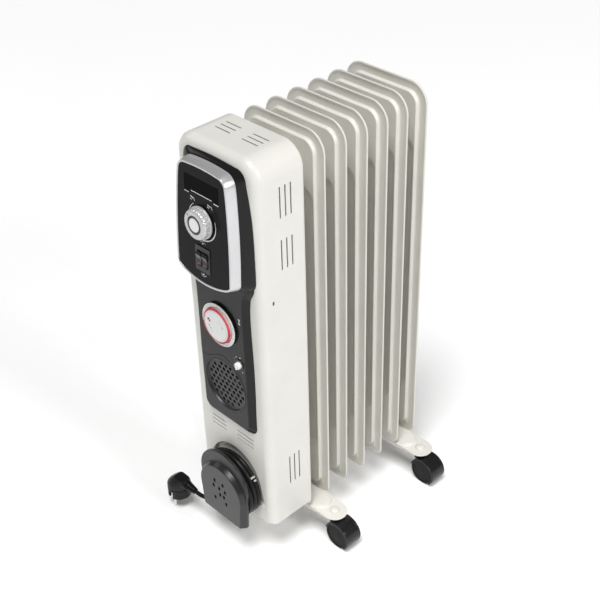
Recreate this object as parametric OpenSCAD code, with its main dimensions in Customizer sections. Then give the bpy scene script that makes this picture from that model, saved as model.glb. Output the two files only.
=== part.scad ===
// Oil filled radiator heater with a fan heater and timer in its control housing.
// Front (controls) faces -Y, the oil fins follow along +Y, +Z is up.
// The origin is on the floor, at the middle of the heater's length and width.

/* [Oil fins] */
// Width of a fin, from rim to rim
fin_w = 143.2; // [136:0.2:146]
// Height of a fin
fin_h = 580; // [560:1:600]
// Height of the fins' lower edge above the floor
fin_z = 52; // [50:0.5:54]
// Spacing of the fins
fin_pitch = 37.2; // [35:0.1:38]
// Thickness of the welded outer rim
rim_t = 2.8; // [2:0.1:3.4]
// Thickness of a fin across its pressed oil chamber
chamber_t = 13.6; // [11:0.2:15]
// Width of the flat rim band at the sides
rim_band = 13; // [10:0.5:15]
// Radius of the fins' upper corners
fin_r_top = 28.8; // [20:0.2:34]
// Radius of the fins' lower corners
fin_r_bottom = 13.8; // [8:0.2:20]

/* [Control housing] */
// Width of the steel housing
housing_w = 144; // [140:0.5:148]
// Depth of the housing
housing_d = 73.5; // [70:0.5:74.5]
// Height of the housing's top above the floor
housing_top = 634; // [630:0.5:640]
// Height of the housing's bottom above the floor
housing_bottom = 62; // [60:0.5:70]
// Radius of the housing's upper side corners
housing_r = 28; // [20:0.5:34]
// Radius of the housing's front edges
housing_edge_r = 12; // [8:0.5:14]
// Sheet thickness of the housing
sheet_t = 1.5; // [1:0.1:2]

/* [Control pod] */
// Lean of the face plate, top backwards, in degrees
face_tilt = 3; // [2:0.5:4]
// Radius of the thermostat knob
knob_r = 20.5; // [18:0.5:22]
// Radius of the timer's outer ring
timer_r = 31; // [30:0.5:33]
// Radius of the fan grille
grille_r = 40; // [36:0.5:41]

/* [Casters] */
// Radius of a caster wheel
wheel_r = 20.5; // [18:0.5:21]
// Distance from a caster's stem to its axle
caster_trail = 16; // [14:0.5:18]
// Distance of the caster stems from the middle of the heater
stem_x = 101; // [96:0.5:104]

/* [Mains cord] */
// Diameter of the mains cord
cord_d = 6.4; // [6:0.1:6.4]
// Outer radius of the cord wound on the winder
coil_r = 52; // [50:0.5:53]

/* [Hidden] */
$fn = 48;

fin_count = 7;
fin_first_y = -59;
fin_last_y = fin_first_y + (fin_count - 1) * fin_pitch;
fin_top = fin_z + fin_h;
fin_wall = 1;
chamber_half_w = fin_w / 2 - rim_band;
chamber_z0 = fin_z + 14;
chamber_z1 = fin_top - 12.5;
window_half_w = chamber_half_w - 6;
window_z0 = 137;
window_z1 = 554;
window_r = 14;
window_depth = 4.6;
channel_x = 28;
channel_r = 6;
header_r = 24;
header_bore_r = 17;
header_top_z = 580;
header_bottom_z = 101;
gap_between_fins = fin_pitch - chamber_t;

housing_rear_y = fin_first_y - rim_t / 2;
housing_front_y = housing_rear_y - housing_d;
shield_y = housing_rear_y - 10;
housing_r_low = 5;
recess_depth = 6;
recess_z = 120;
recess_r = 50;
recess_foot = 58;
slot_w = 2;
side_slot_y = [-97.3, -88.5, -79.7];
web_half_t = chamber_t / 2 - window_depth;

face_y = -158.4;
face_z = 540;
bezel_d = 14.3;
fascia_front_y = housing_front_y - 8;
panel_wall = 2.5;
knob_z = 3;
knob_h = 12.5;
knob_gap = 1;
shaft_r = 3;
running = 0.05;
rocker_z = -49;
rocker_x = 5.4;
rocker_w = 9;
rocker_gap = 0.3;
rocker_pin = 0.7;
rocker_h = 20;
rocker_lean = 7;
pivot_y = 3;
timer_z = 385;
selector_x = 32.5;
selector_z = 336.5;
grille_z = 285;
hole_pitch = 8.7;
hole_r = 2.85;

coil_z = 112.5;
coil_front_y = -153.7;
coil_rear_y = -134.3;
lead_x = -12;
lead_y = -137.5;
lead_z = 82.5;
flange_y0 = -158.5;
flange_y1 = -154;
boss_y = -165.5;

bracket_y = [fin_first_y + fin_pitch / 2, fin_last_y - fin_pitch / 2];
bracket_z = fin_z - 2;
bracket_t = 2;
u_bolt_x = header_r + 3;
stem_r = 5;
axle_r = 2.5;
hood_r = 22.5;
caster_half_w = 14;

plug_at = [-115, -153.5, 0];
plug_yaw = 0;
pin_r = 2.4;
pin_len = 19;
pin_gap = 0.2;
nose_z = 48;
nose_end = 41;
tail_path = [[0, -137.5, 63.7], [-10, -137.7, 62.6], [-20, -139.3, 59.6], [-30, -142.4, 55.8],
    [-39, -146, 52.6], [-47, -149.2, 50.4], [-55, -151.8, 48.8], [-62, -153.1, 48.1],
    [-68, -153.5, 48], [-73.9, -153.5, 48]];

function fin_y(i) = fin_first_y + (i - 1) * fin_pitch;

// Points of an arc about [cx, cy], from angle a0 to a1
function arc(cx, cy, r, a0, a1, n = 8) =
    [for (k = [0:n]) [cx + r * cos(a0 + (a1 - a0) * k / n), cy + r * sin(a0 + (a1 - a0) * k / n)]];

// Mirrors a right-hand outline, listed from top to bottom, to close it on the left
function both_sides(right) =
    concat(right, [for (k = [len(right) - 1:-1:0]) [-right[k][0], right[k][1]]]);

// Half-width of the face plate at height v above the face's own origin
function face_half_w(v) = 47.2 - 6.2 * pow((v + 52) / 112, 2);

// Right half of the face plate's outline, grown by g
function face_right(g) = concat(
    [for (x = [0:10:30]) [x, 72 + g - x * x / 530]],
    arc(29.5, 59, 11.3 + g, 80, 5, 6),
    [for (v = [48:-20:-52]) [face_half_w(v) + g, v]],
    arc(41.2, -67, 6 + g, 0, -70, 5),
    [for (a = [20:-5:0]) [(112 + g) * sin(a), 30 - (112 + g) * cos(a)]]);

// Right half of the pod's outline where it meets the housing
function pod_right(g) = concat(
    [[0, 622 + g], [30, 621.5 + g]],
    arc(43, 609, 12.5 + g, 80, 5, 6),
    [for (z = [590:-21:485]) [64.2 - 9 * pow((z - 485) / 121, 2) + g, z]],
    arc(46.2, 475, 18 + g, 0, -60, 5),
    [[0, 452 - g]]);

// Right half of the lower fascia's outline
function fascia_right(half_w, z0, r, z1) = concat(
    [[half_w, z1]],
    arc(half_w - r, z0 + r, r, 0, -90, 6));

module slab(y0, y1) {
    translate([0, y1, 0]) rotate([90, 0, 0]) linear_extrude(height = y1 - y0) children();
}

module y_rod(r, y0, y1) {
    translate([0, y1, 0]) rotate([90, 0, 0]) cylinder(r = r, h = y1 - y0);
}

module box(x0, x1, y0, y1, z0, z1) {
    translate([x0, y0, z0]) cube([x1 - x0, y1 - y0, z1 - z0]);
}

// Tall outline with its own corner radius at the top and at the bottom
module tall_outline(half_w, z0, z1, r_top, r_bottom) {
    translate([-half_w, z0 + r_bottom]) square([2 * half_w, z1 - z0 - r_top - r_bottom]);
    translate([-half_w + r_top, z0 + r_bottom]) square([2 * (half_w - r_top), z1 - z0 - r_bottom]);
    translate([-half_w + r_bottom, z0]) square([2 * (half_w - r_bottom), z1 - z0 - r_top]);
    for (side = [-1, 1]) {
        translate([side * (half_w - r_top), z1 - r_top]) circle(r = r_top);
        translate([side * (half_w - r_bottom), z0 + r_bottom]) circle(r = r_bottom);
    }
}

// ---- Oil fins ----

module window_outline(g) {
    tall_outline(window_half_w + g, window_z0 - g, window_z1 + g, window_r + g, window_r + g);
}

module fin_chamber(inset) {
    slab(-chamber_t / 2 + inset, chamber_t / 2 - inset)
        tall_outline(chamber_half_w - inset, chamber_z0 + inset, chamber_z1 - inset, 18 - inset, 8 - inset);
}

// Oil chamber with a tall window pressed in on both faces
module pressed_chamber(inset) {
    difference() {
        fin_chamber(inset);
        slab(-chamber_t, inset - web_half_t) window_outline(inset);
        slab(web_half_t - inset, chamber_t) window_outline(inset);
    }
}

module oil_channels(r) {
    for (x = [-channel_x, 0, channel_x])
        translate([x, 0, window_z0 - 12]) cylinder(r = r, h = window_z1 - window_z0 + 10);
}

module fin(i) {
    color("ivory") translate([0, fin_y(i), 0]) difference() {
        union() {
            slab(-rim_t / 2, rim_t / 2)
                tall_outline(fin_w / 2, fin_z, fin_top, fin_r_top, fin_r_bottom);
            pressed_chamber(0);
            oil_channels(channel_r);
        }
        pressed_chamber(fin_wall);
        oil_channels(channel_r - fin_wall);
        // Oil ports: the last fin is closed at the back, and the first is closed at its upper front
        translate([0, 0, header_bottom_z])
            y_rod(header_bore_r, -chamber_t, i == fin_count ? 0 : chamber_t);
        translate([0, 0, header_top_z])
            y_rod(header_bore_r, i == 1 ? 0 : -chamber_t, i == fin_count ? 0 : chamber_t);
    }
}

// Welded collars that join the fins' oil chambers
module header(z) {
    color("lightgray") for (i = [1:fin_count - 1])
        translate([0, fin_y(i) + chamber_t / 2, z]) difference() {
            y_rod(header_r, 0, gap_between_fins);
            y_rod(header_bore_r, -1, gap_between_fins + 1);
        }
}

module upper_header() {
    header(header_top_z);
}

module lower_header() {
    header(header_bottom_z);
}

// Immersion element in the lower header, with its flange on the first fin
module heating_element() {
    flange_y = fin_first_y - chamber_t / 2;
    color("dimgray") translate([0, 0, header_bottom_z]) {
        y_rod(header_r, flange_y - 3, flange_y);
        for (x = [-8, 8]) translate([x, 0, 0]) {
            y_rod(4, flange_y - 1, fin_last_y - 20);
            y_rod(2, flange_y - 14, flange_y - 2);
        }
        translate([0, fin_last_y - 20, 0]) intersection() {
            rotate_extrude() translate([8, 0]) circle(r = 4);
            box(-13, 13, 0, 13, -5, 5);
        }
    }
}

// ---- Control housing ----

// The housing's outer form, made smaller by inset and open towards the fins
module housing_form(inset) {
    half_w = housing_w / 2 - inset;
    y0 = housing_front_y + inset;
    y1 = housing_rear_y + (inset > 0 ? 1 : 0);
    z0 = housing_bottom + inset;
    z1 = housing_top - inset;
    r = housing_edge_r - inset;
    r_low = 4;
    intersection() {
        slab(y0, y1) tall_outline(half_w, z0, z1, housing_r - inset, housing_r_low - inset);
        translate([0, 0, z0 - 1]) linear_extrude(height = z1 - z0 + 2) {
            translate([-half_w, y0 + r]) square([2 * half_w, y1 - y0 - r]);
            translate([-half_w + r, y0]) square([2 * (half_w - r), y1 - y0]);
            for (side = [-1, 1]) translate([side * (half_w - r), y0 + r]) circle(r = r);
        }
        translate([-half_w - 1, 0, 0]) rotate([90, 0, 90]) linear_extrude(height = 2 * half_w + 2) {
            translate([y0 + r, z0]) square([y1 - y0 - r, z1 - z0]);
            translate([y0, z0 + r_low]) square([y1 - y0, z1 - z0 - r - r_low]);
            translate([y0 + r, z1 - r]) circle(r = r);
            translate([y0 + r_low, z0 + r_low]) circle(r = r_low);
            translate([y0 + r_low, z0]) square([r, r]);
        }
    }
}

// Arched outline of the pressing behind the cord winder
module recess_outline(g) {
    translate([0, recess_z]) circle(r = recess_r + g);
    polygon([[-recess_foot - g, 92 - g], [recess_foot + g, 92 - g],
        [recess_r - 2 + g, recess_z], [-recess_r + 2 - g, recess_z]]);
}

module side_slots(z0, z1) {
    for (y = side_slot_y)
        box(-housing_w, housing_w, y - slot_w / 2, y + slot_w / 2, z0, z1);
}

module housing() {
    color("ivory") difference() {
        union() {
            difference() {
                housing_form(0);
                housing_form(sheet_t);
                slab(housing_front_y - 1, housing_front_y + 3) intersection() {
                    recess_outline(0);
                    translate([-70, 92 - 0.1]) square([140, 140]);
                }
            }
            difference() {
                slab(housing_front_y, housing_front_y + recess_depth + sheet_t) intersection() {
                    recess_outline(sheet_t);
                    translate([-70, 92 - sheet_t]) square([140, 140]);
                }
                slab(housing_front_y - 1, housing_front_y + recess_depth) intersection() {
                    recess_outline(0);
                    translate([-70, 92]) square([140, 140]);
                }
            }
        }
        side_slots(550.5, 593.3);
        side_slots(478, 521);
        side_slots(125, 174.5);
        for (y = side_slot_y) {
            box(-38, -10.3, y - slot_w / 2, y + slot_w / 2, housing_top - 5, housing_top + 1);
            box(9.9, 38, y - slot_w / 2, y + slot_w / 2, housing_top - 5, housing_top + 1);
        }
        for (z = [206, 199, 192]) {
            box(-43, -15, housing_front_y - 1, housing_front_y + 3, z - 1, z + 1);
            box(8, 41.5, housing_front_y - 1, housing_front_y + 3, z - 1, z + 1);
        }
        // Small oblong hole in the right-hand side
        box(housing_w / 2 - 3, housing_w / 2 + 1, -115.6, -112.6, 433.8, 439.8);
        // Openings behind the pod, the timer, the selector and the fan
        box(-40, 40, housing_front_y - 1, housing_front_y + 3, 470, 606);
        translate([0, 0, timer_z]) y_rod(26, housing_front_y - 1, housing_front_y + 3);
        box(selector_x - 10, selector_x + 10, housing_front_y - 1, housing_front_y + 3, 327, 349);
        translate([0, 0, grille_z]) y_rod(36, housing_front_y - 1, housing_front_y + 3);
    }
}

// Steel plate that closes the housing towards the first fin
module heat_shield() {
    half_w = housing_w / 2 - sheet_t;
    color("silver") difference() {
        slab(shield_y - 1, shield_y) tall_outline(half_w, housing_bottom + sheet_t,
            housing_top - sheet_t, housing_r - sheet_t, housing_r_low - sheet_t);
        translate([0, 0, header_bottom_z]) y_rod(14, shield_y - 2, shield_y + 1);
        for (x = [-45, 45], z = [180:40:540]) box(x - 12, x + 12, shield_y - 2, shield_y + 1, z, z + 6);
    }
}

// ---- Control panel ----

// Puts its children on the leaning face: local -Y points out of it, local Z runs up it
module on_face() {
    translate([0, face_y, face_z]) rotate([-face_tilt, 0, 0]) children();
}

module face_outline(g) {
    polygon(both_sides(face_right(g)));
}

module pod_form(g, y1) {
    hull() {
        slab(y1 - 0.01, y1) polygon(both_sides(pod_right(g)));
        on_face() slab(bezel_d + g, bezel_d + 0.01) face_outline(6 + g);
    }
}

module fascia_form(g, y1) {
    front_y = fascia_front_y - g * 0.8;
    hull() {
        slab(y1 - 0.01, y1) polygon(both_sides(fascia_right(50.5 + g, 219 - g, 14 + g, 475)));
        slab(front_y, front_y + 0.01) polygon(both_sides(fascia_right(44 + g, 228 - g, 12 + g, 470)));
    }
}

module panel_body() {
    color([0.13, 0.13, 0.13]) difference() {
        union() {
            pod_form(0, housing_front_y);
            fascia_form(0, housing_front_y);
        }
        pod_form(-panel_wall, housing_front_y + 0.5);
        fascia_form(-panel_wall, housing_front_y + 0.5);
        translate([0, 0, timer_z]) y_rod(24, fascia_front_y - 1, fascia_front_y + 5);
        translate([selector_x, 0, selector_z]) y_rod(4, fascia_front_y - 1, fascia_front_y + 5);
        translate([0, 0, grille_z]) y_rod(grille_r + 0.3, fascia_front_y - 1, fascia_front_y + 5);
    }
}

// Point of the leaning face's own frame, depth y behind its surface
function face_point(p, y) = [p[0], face_y + y * cos(face_tilt) + p[1] * sin(face_tilt),
    face_z - y * sin(face_tilt) + p[1] * cos(face_tilt)];

// Silver ring round the face plate, with a ledge that the plate rests on
module bezel() {
    rings = [
        [for (p = both_sides(face_right(6))) face_point(p, bezel_d)],
        [for (p = both_sides(face_right(3))) face_point(p, 0)],
        [for (p = both_sides(face_right(0.3))) face_point(p, 0)],
        [for (p = both_sides(face_right(0.3))) face_point(p, 3.6)],
        [for (p = both_sides(face_right(-2.5))) face_point(p, 3.6)],
        [for (p = both_sides(face_right(-2.5))) face_point(p, 5)],
        [for (p = both_sides(face_right(2))) face_point(p, bezel_d)]];
    m = len(rings);
    n = len(rings[0]);
    color("silver") polyhedron([for (ring = rings, p = ring) p],
        [for (k = [0:m - 1], i = [0:n - 1], half = [0, 1]) let (j = (i + 1) % n, l = (k + 1) % m)
            half == 0 ? [k * n + i, k * n + j, l * n + j] : [k * n + i, l * n + j, l * n + i]]);
}

module rocker_opening(g) {
    translate([-0.5 - 12.5 - g, rocker_z - 16.5 - g]) square([25 + 2 * g, 33 + 2 * g]);
}

module face_plate() {
    color([0.1, 0.1, 0.1]) on_face() difference() {
        slab(0.6, 3.6) face_outline(0);
        translate([0, 0, knob_z]) y_rod(6, 0, 5);
        slab(0, 5) rocker_opening(0);
        box(-31.2, 31.2, 0, 2, 34.8, 58.2);
    }
}

module display_window() {
    color([0.05, 0.05, 0.06]) on_face() box(-31, 31, 0.8, 2, 35, 58);
}

module thermostat_knob() {
    color("gainsboro") on_face() translate([0, 0, knob_z]) difference() {
        union() {
            y_rod(knob_r + 0.5, -knob_gap - 2.5, -knob_gap);
            slab(-knob_h, -knob_gap - 2.4) polygon([for (a = [0:3.75:359])
                (knob_r - 0.9 + 0.4 * cos(24 * a)) * [cos(a), sin(a)]]);
        }
        y_rod(shaft_r + running, -9, 1);
        y_rod(9.5, -knob_h - 1, -knob_h + 0.8);
    }
}

module knob_cap() {
    color("white") on_face() translate([0, 0, knob_z]) y_rod(9.4, -knob_h, -knob_h + 0.8);
}

module thermostat_shaft() {
    color("gold") on_face() translate([0, 0, knob_z]) y_rod(shaft_r, -9, 16);
}

module thermostat() {
    color("tan") on_face() translate([0, 0, knob_z]) difference() {
        union() {
            y_rod(5.5, 0, 8);
            box(-18, 18, 8, 30, -14, 14);
        }
        y_rod(shaft_r + running, -1, 16.3);
    }
}

// Rocker with its upper end out. Its profile, seen from +X, has two shallow faces that meet at the pivot.
module rocker(x) {
    end = rocker_h / 2;
    tip = [-3.4, end - 2.6];
    color([0.1, 0.1, 0.1]) on_face() translate([x, pivot_y, rocker_z]) rotate([rocker_lean, 0, 0]) {
        translate([-rocker_w / 2, -pivot_y, 0]) rotate([90, 0, 90]) linear_extrude(height = rocker_w)
            polygon([[-0.6, end], tip, [-1.4, 0], [tip[0], -tip[1]], [-0.6, -end], [4.5, 2.5 - end],
                [6.5, 0], [4.5, end - 2.5]]);
        translate([-rocker_w / 2 - rocker_pin, 0, 0]) rotate([0, 90, 0])
            cylinder(r = 1.5, h = rocker_w + 2 * rocker_pin);
    }
}

module rocker_left() {
    rocker(-rocker_x - 0.5);
}

module rocker_right() {
    rocker(rocker_x - 0.5);
}

module rocker_frame() {
    color([0.25, 0.25, 0.25]) on_face() difference() {
        union() {
            slab(-0.6, 0.6) rocker_opening(1);
            slab(0.5, 20) rocker_opening(-0.3);
        }
        for (side = [-1, 1]) translate([-0.5 + side * rocker_x, 0, rocker_z]) {
            box(-rocker_w / 2 - rocker_gap, rocker_w / 2 + rocker_gap, -2, 11,
                -rocker_h / 2 - 1, rocker_h / 2 + 1);
            translate([-rocker_w / 2 - rocker_pin - running, pivot_y, 0]) rotate([0, 90, 0])
                cylinder(r = 1.5 + running, h = rocker_w + 2 * (rocker_pin + running));
        }
    }
}

// ---- Timer and selector on the lower fascia ----

module timer_ring() {
    color("white") translate([0, 0, timer_z]) difference() {
        y_rod(timer_r, fascia_front_y - 4, fascia_front_y);
        y_rod(timer_r - 5.5, fascia_front_y - 5, fascia_front_y + 1);
    }
}

module timer_dial() {
    color("white") translate([0, 0, timer_z]) {
        y_rod(timer_r - 6, fascia_front_y - 8.2, fascia_front_y - 3.4);
        y_rod(shaft_r, fascia_front_y - 4, fascia_front_y + 8);
    }
}

module timer_mechanism() {
    color("whitesmoke") translate([0, 0, timer_z]) difference() {
        y_rod(23.6, fascia_front_y - 3, fascia_front_y + 28);
        y_rod(shaft_r + running, fascia_front_y - 4, fascia_front_y + 8.3);
    }
}

module selector_knob() {
    color("white") translate([selector_x, 0, selector_z]) {
        y_rod(5, fascia_front_y - 6, fascia_front_y - 0.3);
        box(-1, 1, fascia_front_y - 7, fascia_front_y - 5.9, -4.6, 4.6);
        y_rod(2, fascia_front_y - 1, fascia_front_y + 9);
    }
}

module selector_switch() {
    color("tan") translate([selector_x, 0, selector_z]) difference() {
        union() {
            difference() {
                y_rod(8, fascia_front_y - 1.2, fascia_front_y);
                y_rod(5.4, fascia_front_y - 2, fascia_front_y + 1);
            }
            y_rod(3.7, fascia_front_y + 0.4, fascia_front_y + 4);
            box(-8, 8, fascia_front_y + 3, fascia_front_y + 16, -8, 8);
        }
        y_rod(2 + running, fascia_front_y - 1, fascia_front_y + 9.3);
    }
}

// ---- Fan heater ----

// Dished round grille with staggered holes
module fan_grille() {
    rows = 4;
    color([0.15, 0.15, 0.15]) translate([0, 0, grille_z]) difference() {
        y_rod(grille_r, fascia_front_y - 0.4, fascia_front_y + 5);
        translate([0, fascia_front_y - 0.5, 0]) rotate([-90, 0, 0])
            cylinder(r1 = grille_r - 1.5, r2 = grille_r - 3, h = 3.5);
        for (j = [-rows:rows], i = [-rows:rows]) {
            x = (i + (abs(j) % 2) / 2) * hole_pitch;
            z = j * hole_pitch * 0.866;
            if (norm([x, z]) < grille_r - 6.5)
                translate([x, 0, z]) y_rod(hole_r, fascia_front_y, fascia_front_y + 6);
        }
    }
}

module ptc_heater() {
    color("darkgray") translate([0, 0, grille_z]) difference() {
        box(-30, 30, -131, -124, -30, 30);
        for (z = [-24:6:18]) box(-26, 26, -132, -123, z, z + 4.5);
    }
}

module fan_frame() {
    color("gray") translate([0, 0, grille_z]) difference() {
        union() {
            box(-38, 38, -122, -100, -38, 38);
            for (x = [-34, 34], z = [-34, 34]) translate([x, 0, z]) y_rod(3, -100, shield_y - 1);
        }
        y_rod(34, -123, -103);
        for (a = [45:90:315]) rotate([0, a, 0]) box(19, 31, -104, -99, -10, 10);
        y_rod(8, -123, -99);
    }
}

module fan_impeller() {
    color([0.2, 0.2, 0.2]) translate([0, 0, grille_z]) {
        y_rod(11, -120, -107);
        for (a = [0:51.43:359]) rotate([0, a, 0])
            translate([10, -113.5, 0]) rotate([32, 0, 0]) translate([0, -7, -1]) cube([21, 14, 2]);
        y_rod(2, -108, -92);
    }
}

module fan_motor() {
    color("silver") translate([0, 0, grille_z]) difference() {
        union() {
            y_rod(7.8, -105.5, -99);
            y_rod(17, -99.8, -80);
        }
        y_rod(2 + running, -106, -91.7);
    }
}

// ---- Inner electrical parts ----

module tip_switch() {
    color("white") box(30, 56, shield_y - 19, shield_y - 1, 150, 190);
}

module thermal_cutout() {
    color("silver") translate([0, 0, 600]) {
        y_rod(8, shield_y - 7, shield_y - 1);
        y_rod(5, shield_y - 12, shield_y - 6.9);
    }
}

module terminal_block() {
    color("whitesmoke") difference() {
        box(-50, -14, shield_y - 15, shield_y - 1, 160, 176);
        for (x = [-44:8:-20]) translate([x, shield_y - 8, 159]) cylinder(r = 2, h = 18);
    }
}

// ---- Cord winder and mains cord ----

module arch_outline(half_w, foot_w, z_mid) {
    translate([0, z_mid]) circle(r = half_w, $fn = 64);
    polygon([[-foot_w, 60], [foot_w, 60], [half_w, z_mid], [-half_w, z_mid]]);
}

// Moulded winder: flange, raised front and four posts that stand on the housing
module winder() {
    hole_rows = [[122, [-11, 6]], [111, [-14, -2, 10]], [100, [-1, 7]], [89, [-12, 11]]];
    color([0.12, 0.12, 0.12]) difference() {
        union() {
            slab(flange_y0, flange_y1) arch_outline(48, 44, 124);
            hull() {
                slab(flange_y0 - 0.1, flange_y0 + 0.1) arch_outline(46, 43.5, 106.5);
                slab(boss_y, boss_y + 0.1) arch_outline(42, 38, 106.5);
            }
            for (a = [90:120:330]) translate([30 * cos(a), 0, coil_z + 30 * sin(a)])
                y_rod(5, flange_y1 - 0.1, housing_front_y + recess_depth);
        }
        for (row = hole_rows, x = row[1])
            box(x - 2, x + 2, boss_y - 1, boss_y + 4, row[0] - 3.2, row[0] + 3.2);
    }
}

// Elbow gland that leads the cord into the first turn, with a flat back against the housing
module strain_relief() {
    color([0.1, 0.1, 0.1]) difference() {
        union() {
            translate([12, 0, lead_z]) y_rod(6, lead_y - 5.6, housing_front_y);
            translate([12, lead_y, lead_z]) rotate([0, -90, 0])
                cylinder(r1 = 5.4, r2 = 3.8, h = 12 - lead_x);
        }
        box(lead_x - 1, 20, housing_front_y, housing_front_y + 5, lead_z - 10, lead_z + 10);
    }
}

// Outer shape of the wound cord: two layers of three turns, and its lead from the strain relief
module cord_coil() {
    color([0.08, 0.08, 0.08]) {
        translate([0, 0, coil_z]) difference() {
            y_rod(coil_r, coil_front_y, coil_rear_y, $fn = 72);
            y_rod(coil_r - 2 * cord_d, coil_front_y - 1, coil_rear_y + 1, $fn = 72);
        }
        translate([lead_x, lead_y, lead_z]) rotate([0, -90, 0]) cylinder(r = cord_d / 2, h = 16);
    }
}

function unit(v) = v / norm(v);

// Tube swept along a path: one ring of sides points at each path point
module tube(path, r, sides) {
    n = len(path);
    dir = [for (k = [0:n - 1]) unit(path[min(k + 1, n - 1)] - path[max(k - 1, 0)])];
    points = [for (k = [0:n - 1]) let (u = unit(cross(dir[k], [0, 0, 1])), v = cross(u, dir[k]))
        for (s = [0:sides - 1]) path[k] + r * (cos(s * 360 / sides) * u + sin(s * 360 / sides) * v)];
    walls = [for (k = [0:n - 2], s = [0:sides - 1])
        [k * sides + s, k * sides + (s + 1) % sides,
            (k + 1) * sides + (s + 1) % sides, (k + 1) * sides + s]];
    caps = [[for (s = [sides - 1:-1:0]) s], [for (s = [0:sides - 1]) (n - 1) * sides + s]];
    polyhedron(points, concat(walls, caps));
}

module cord_tail() {
    color([0.08, 0.08, 0.08]) tube(tail_path, cord_d / 2, 10);
}

module on_plug() {
    translate(plug_at) rotate([0, 0, plug_yaw]) children();
}

// Angled plug that stands on its pins
module plug_body() {
    face = pin_len + pin_gap;
    color([0.1, 0.1, 0.1]) on_plug() {
        translate([0, 0, face]) cylinder(r = 17.6, h = 20);
        hull() {
            translate([0, 0, face + 19.9]) cylinder(r = 17, h = 3, $fn = 32);
            translate([-2, -8.5, 54]) cube([20, 17, 2]);
            translate([18, 0, nose_z]) rotate([0, 90, 0]) cylinder(r = 8, h = 1, $fn = 32);
        }
        translate([19, 0, nose_z]) rotate([0, 90, 0]) cylinder(r1 = 7, r2 = 4.6, h = nose_end - 19);
    }
}

module plug_pins() {
    color("silver") on_plug() for (y = [-9.5, 9.5])
        translate([0, y, pin_gap]) cylinder(r = pin_r, h = pin_len);
}

// ---- Wheel brackets and casters ----

module bracket(y) {
    half_w = 18.5;
    hem = 1.5;
    flange_z = bracket_z - 5.5;
    flange_end = stem_x - 3;
    color("ivory") translate([0, y, 0]) difference() {
        union() {
            translate([0, 0, bracket_z]) linear_extrude(height = bracket_t) {
                translate([-stem_x, -half_w]) square([2 * stem_x, 2 * half_w]);
                for (side = [-1, 1]) translate([side * stem_x, 0]) circle(r = half_w);
            }
            translate([0, 0, bracket_z]) linear_extrude(height = bracket_t + 3) {
                translate([-75, -13]) square([150, 26]);
                for (side = [-1, 1]) translate([side * 75, 0]) circle(r = 13);
            }
            for (hem_y = [-half_w, half_w - hem]) slab(hem_y, hem_y + hem)
                polygon([[-60, flange_z], [60, flange_z],
                    [flange_end, bracket_z - 1], [flange_end, bracket_z + 1],
                    [-flange_end, bracket_z + 1], [-flange_end, bracket_z - 1]]);
        }
        for (side = [-1, 1]) {
            translate([side * stem_x, 0, 40]) cylinder(r = stem_r + running, h = 20);
            translate([side * u_bolt_x, 0, 40]) cylinder(r = 2.8, h = 20);
        }
    }
}

module bracket_front() {
    bracket(bracket_y[0]);
}

module bracket_rear() {
    bracket(bracket_y[1]);
}

// Rods that hook over the lower header and pull the brackets up against the fins
module u_bolts() {
    color("silver") for (y = bracket_y) translate([0, y, header_bottom_z]) {
        intersection() {
            rotate([90, 0, 0]) rotate_extrude() translate([u_bolt_x, 0]) circle(r = 2.5);
            box(-40, 40, -5, 5, 0, 40);
        }
        for (side = [-1, 1]) translate([side * u_bolt_x, 0, 38 - header_bottom_z])
            cylinder(r = 2.5, h = header_bottom_z - 38 + 0.01);
    }
}

module wing_nuts() {
    color("silver") for (y = bracket_y, side = [-1, 1])
        translate([side * u_bolt_x, y, bracket_z - 5.3]) difference() {
            union() {
                cylinder(r = 5.5, h = 5.1);
                translate([-12, -1.5, -4]) cube([24, 3, 7]);
            }
            translate([0, 0, -6]) cylinder(r = 2.55, h = 13);
        }
}

// Caps pressed over the stems' sockets on the brackets
module caster_caps() {
    color("ivory") for (y = bracket_y, side = [-1, 1])
        translate([side * stem_x, y, bracket_z + bracket_t]) rotate_extrude()
            polygon([[0, 0], [7, 0], [6.6, 1.6], [5, 3], [2.5, 3.6], [0, 3.6]]);
}

// Puts its children at a caster's stem, mirrored so that local +X points outwards
module at_caster(side, y) {
    translate([side * stem_x, y, 0]) mirror([side < 0 ? 1 : 0, 0, 0]) children();
}

module caster_fork(side, y) {
    web = 1.6;
    color([0.12, 0.12, 0.12]) at_caster(side, y) {
        difference() {
            union() {
                translate([caster_trail, 0, wheel_r]) difference() {
                    y_rod(hood_r, -caster_half_w, caster_half_w);
                    y_rod(hood_r - 1.4, -caster_half_w - 1, -web);
                    y_rod(hood_r - 1.4, web, caster_half_w + 1);
                    // The hood is open at the bottom, from its outer to its inner edge
                    slab(-20, 20)
                        polygon([[0, -6], [30, -21], [40, -60], [-60, -60], [-60, 15], [-10, 2.6]]);
                }
                translate([caster_trail, 0, wheel_r]) y_rod(6.5, -web, web);
                translate([0, 0, 34]) cylinder(r = 7, h = bracket_z - 34.4);
                cylinder(r = stem_r, h = bracket_z + bracket_t - 0.3);
            }
            translate([caster_trail, 0, wheel_r]) y_rod(hood_r - 1.4, -caster_half_w, -web);
            translate([caster_trail, 0, wheel_r]) y_rod(hood_r - 1.4, web, caster_half_w);
            translate([-12, -12, -1]) cube([24, 24, 35]);
            translate([caster_trail, 0, wheel_r]) y_rod(axle_r + running, -web - 1, web + 1);
        }
    }
}

module caster_axle(side, y) {
    color("silver") at_caster(side, y)
        translate([caster_trail, 0, wheel_r]) y_rod(axle_r, -12.5, 12.5);
}

module caster_wheel(side, y) {
    color([0.1, 0.1, 0.1]) at_caster(side, y) translate([caster_trail, 0, wheel_r])
        for (face = [0, 180]) rotate([0, 0, face]) difference() {
            y_rod(wheel_r, 2, 13.6, $fn = 64);
            y_rod(wheel_r - 4, 12.6, 14);
            y_rod(axle_r, 1, 12.6);
        }
}

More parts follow.
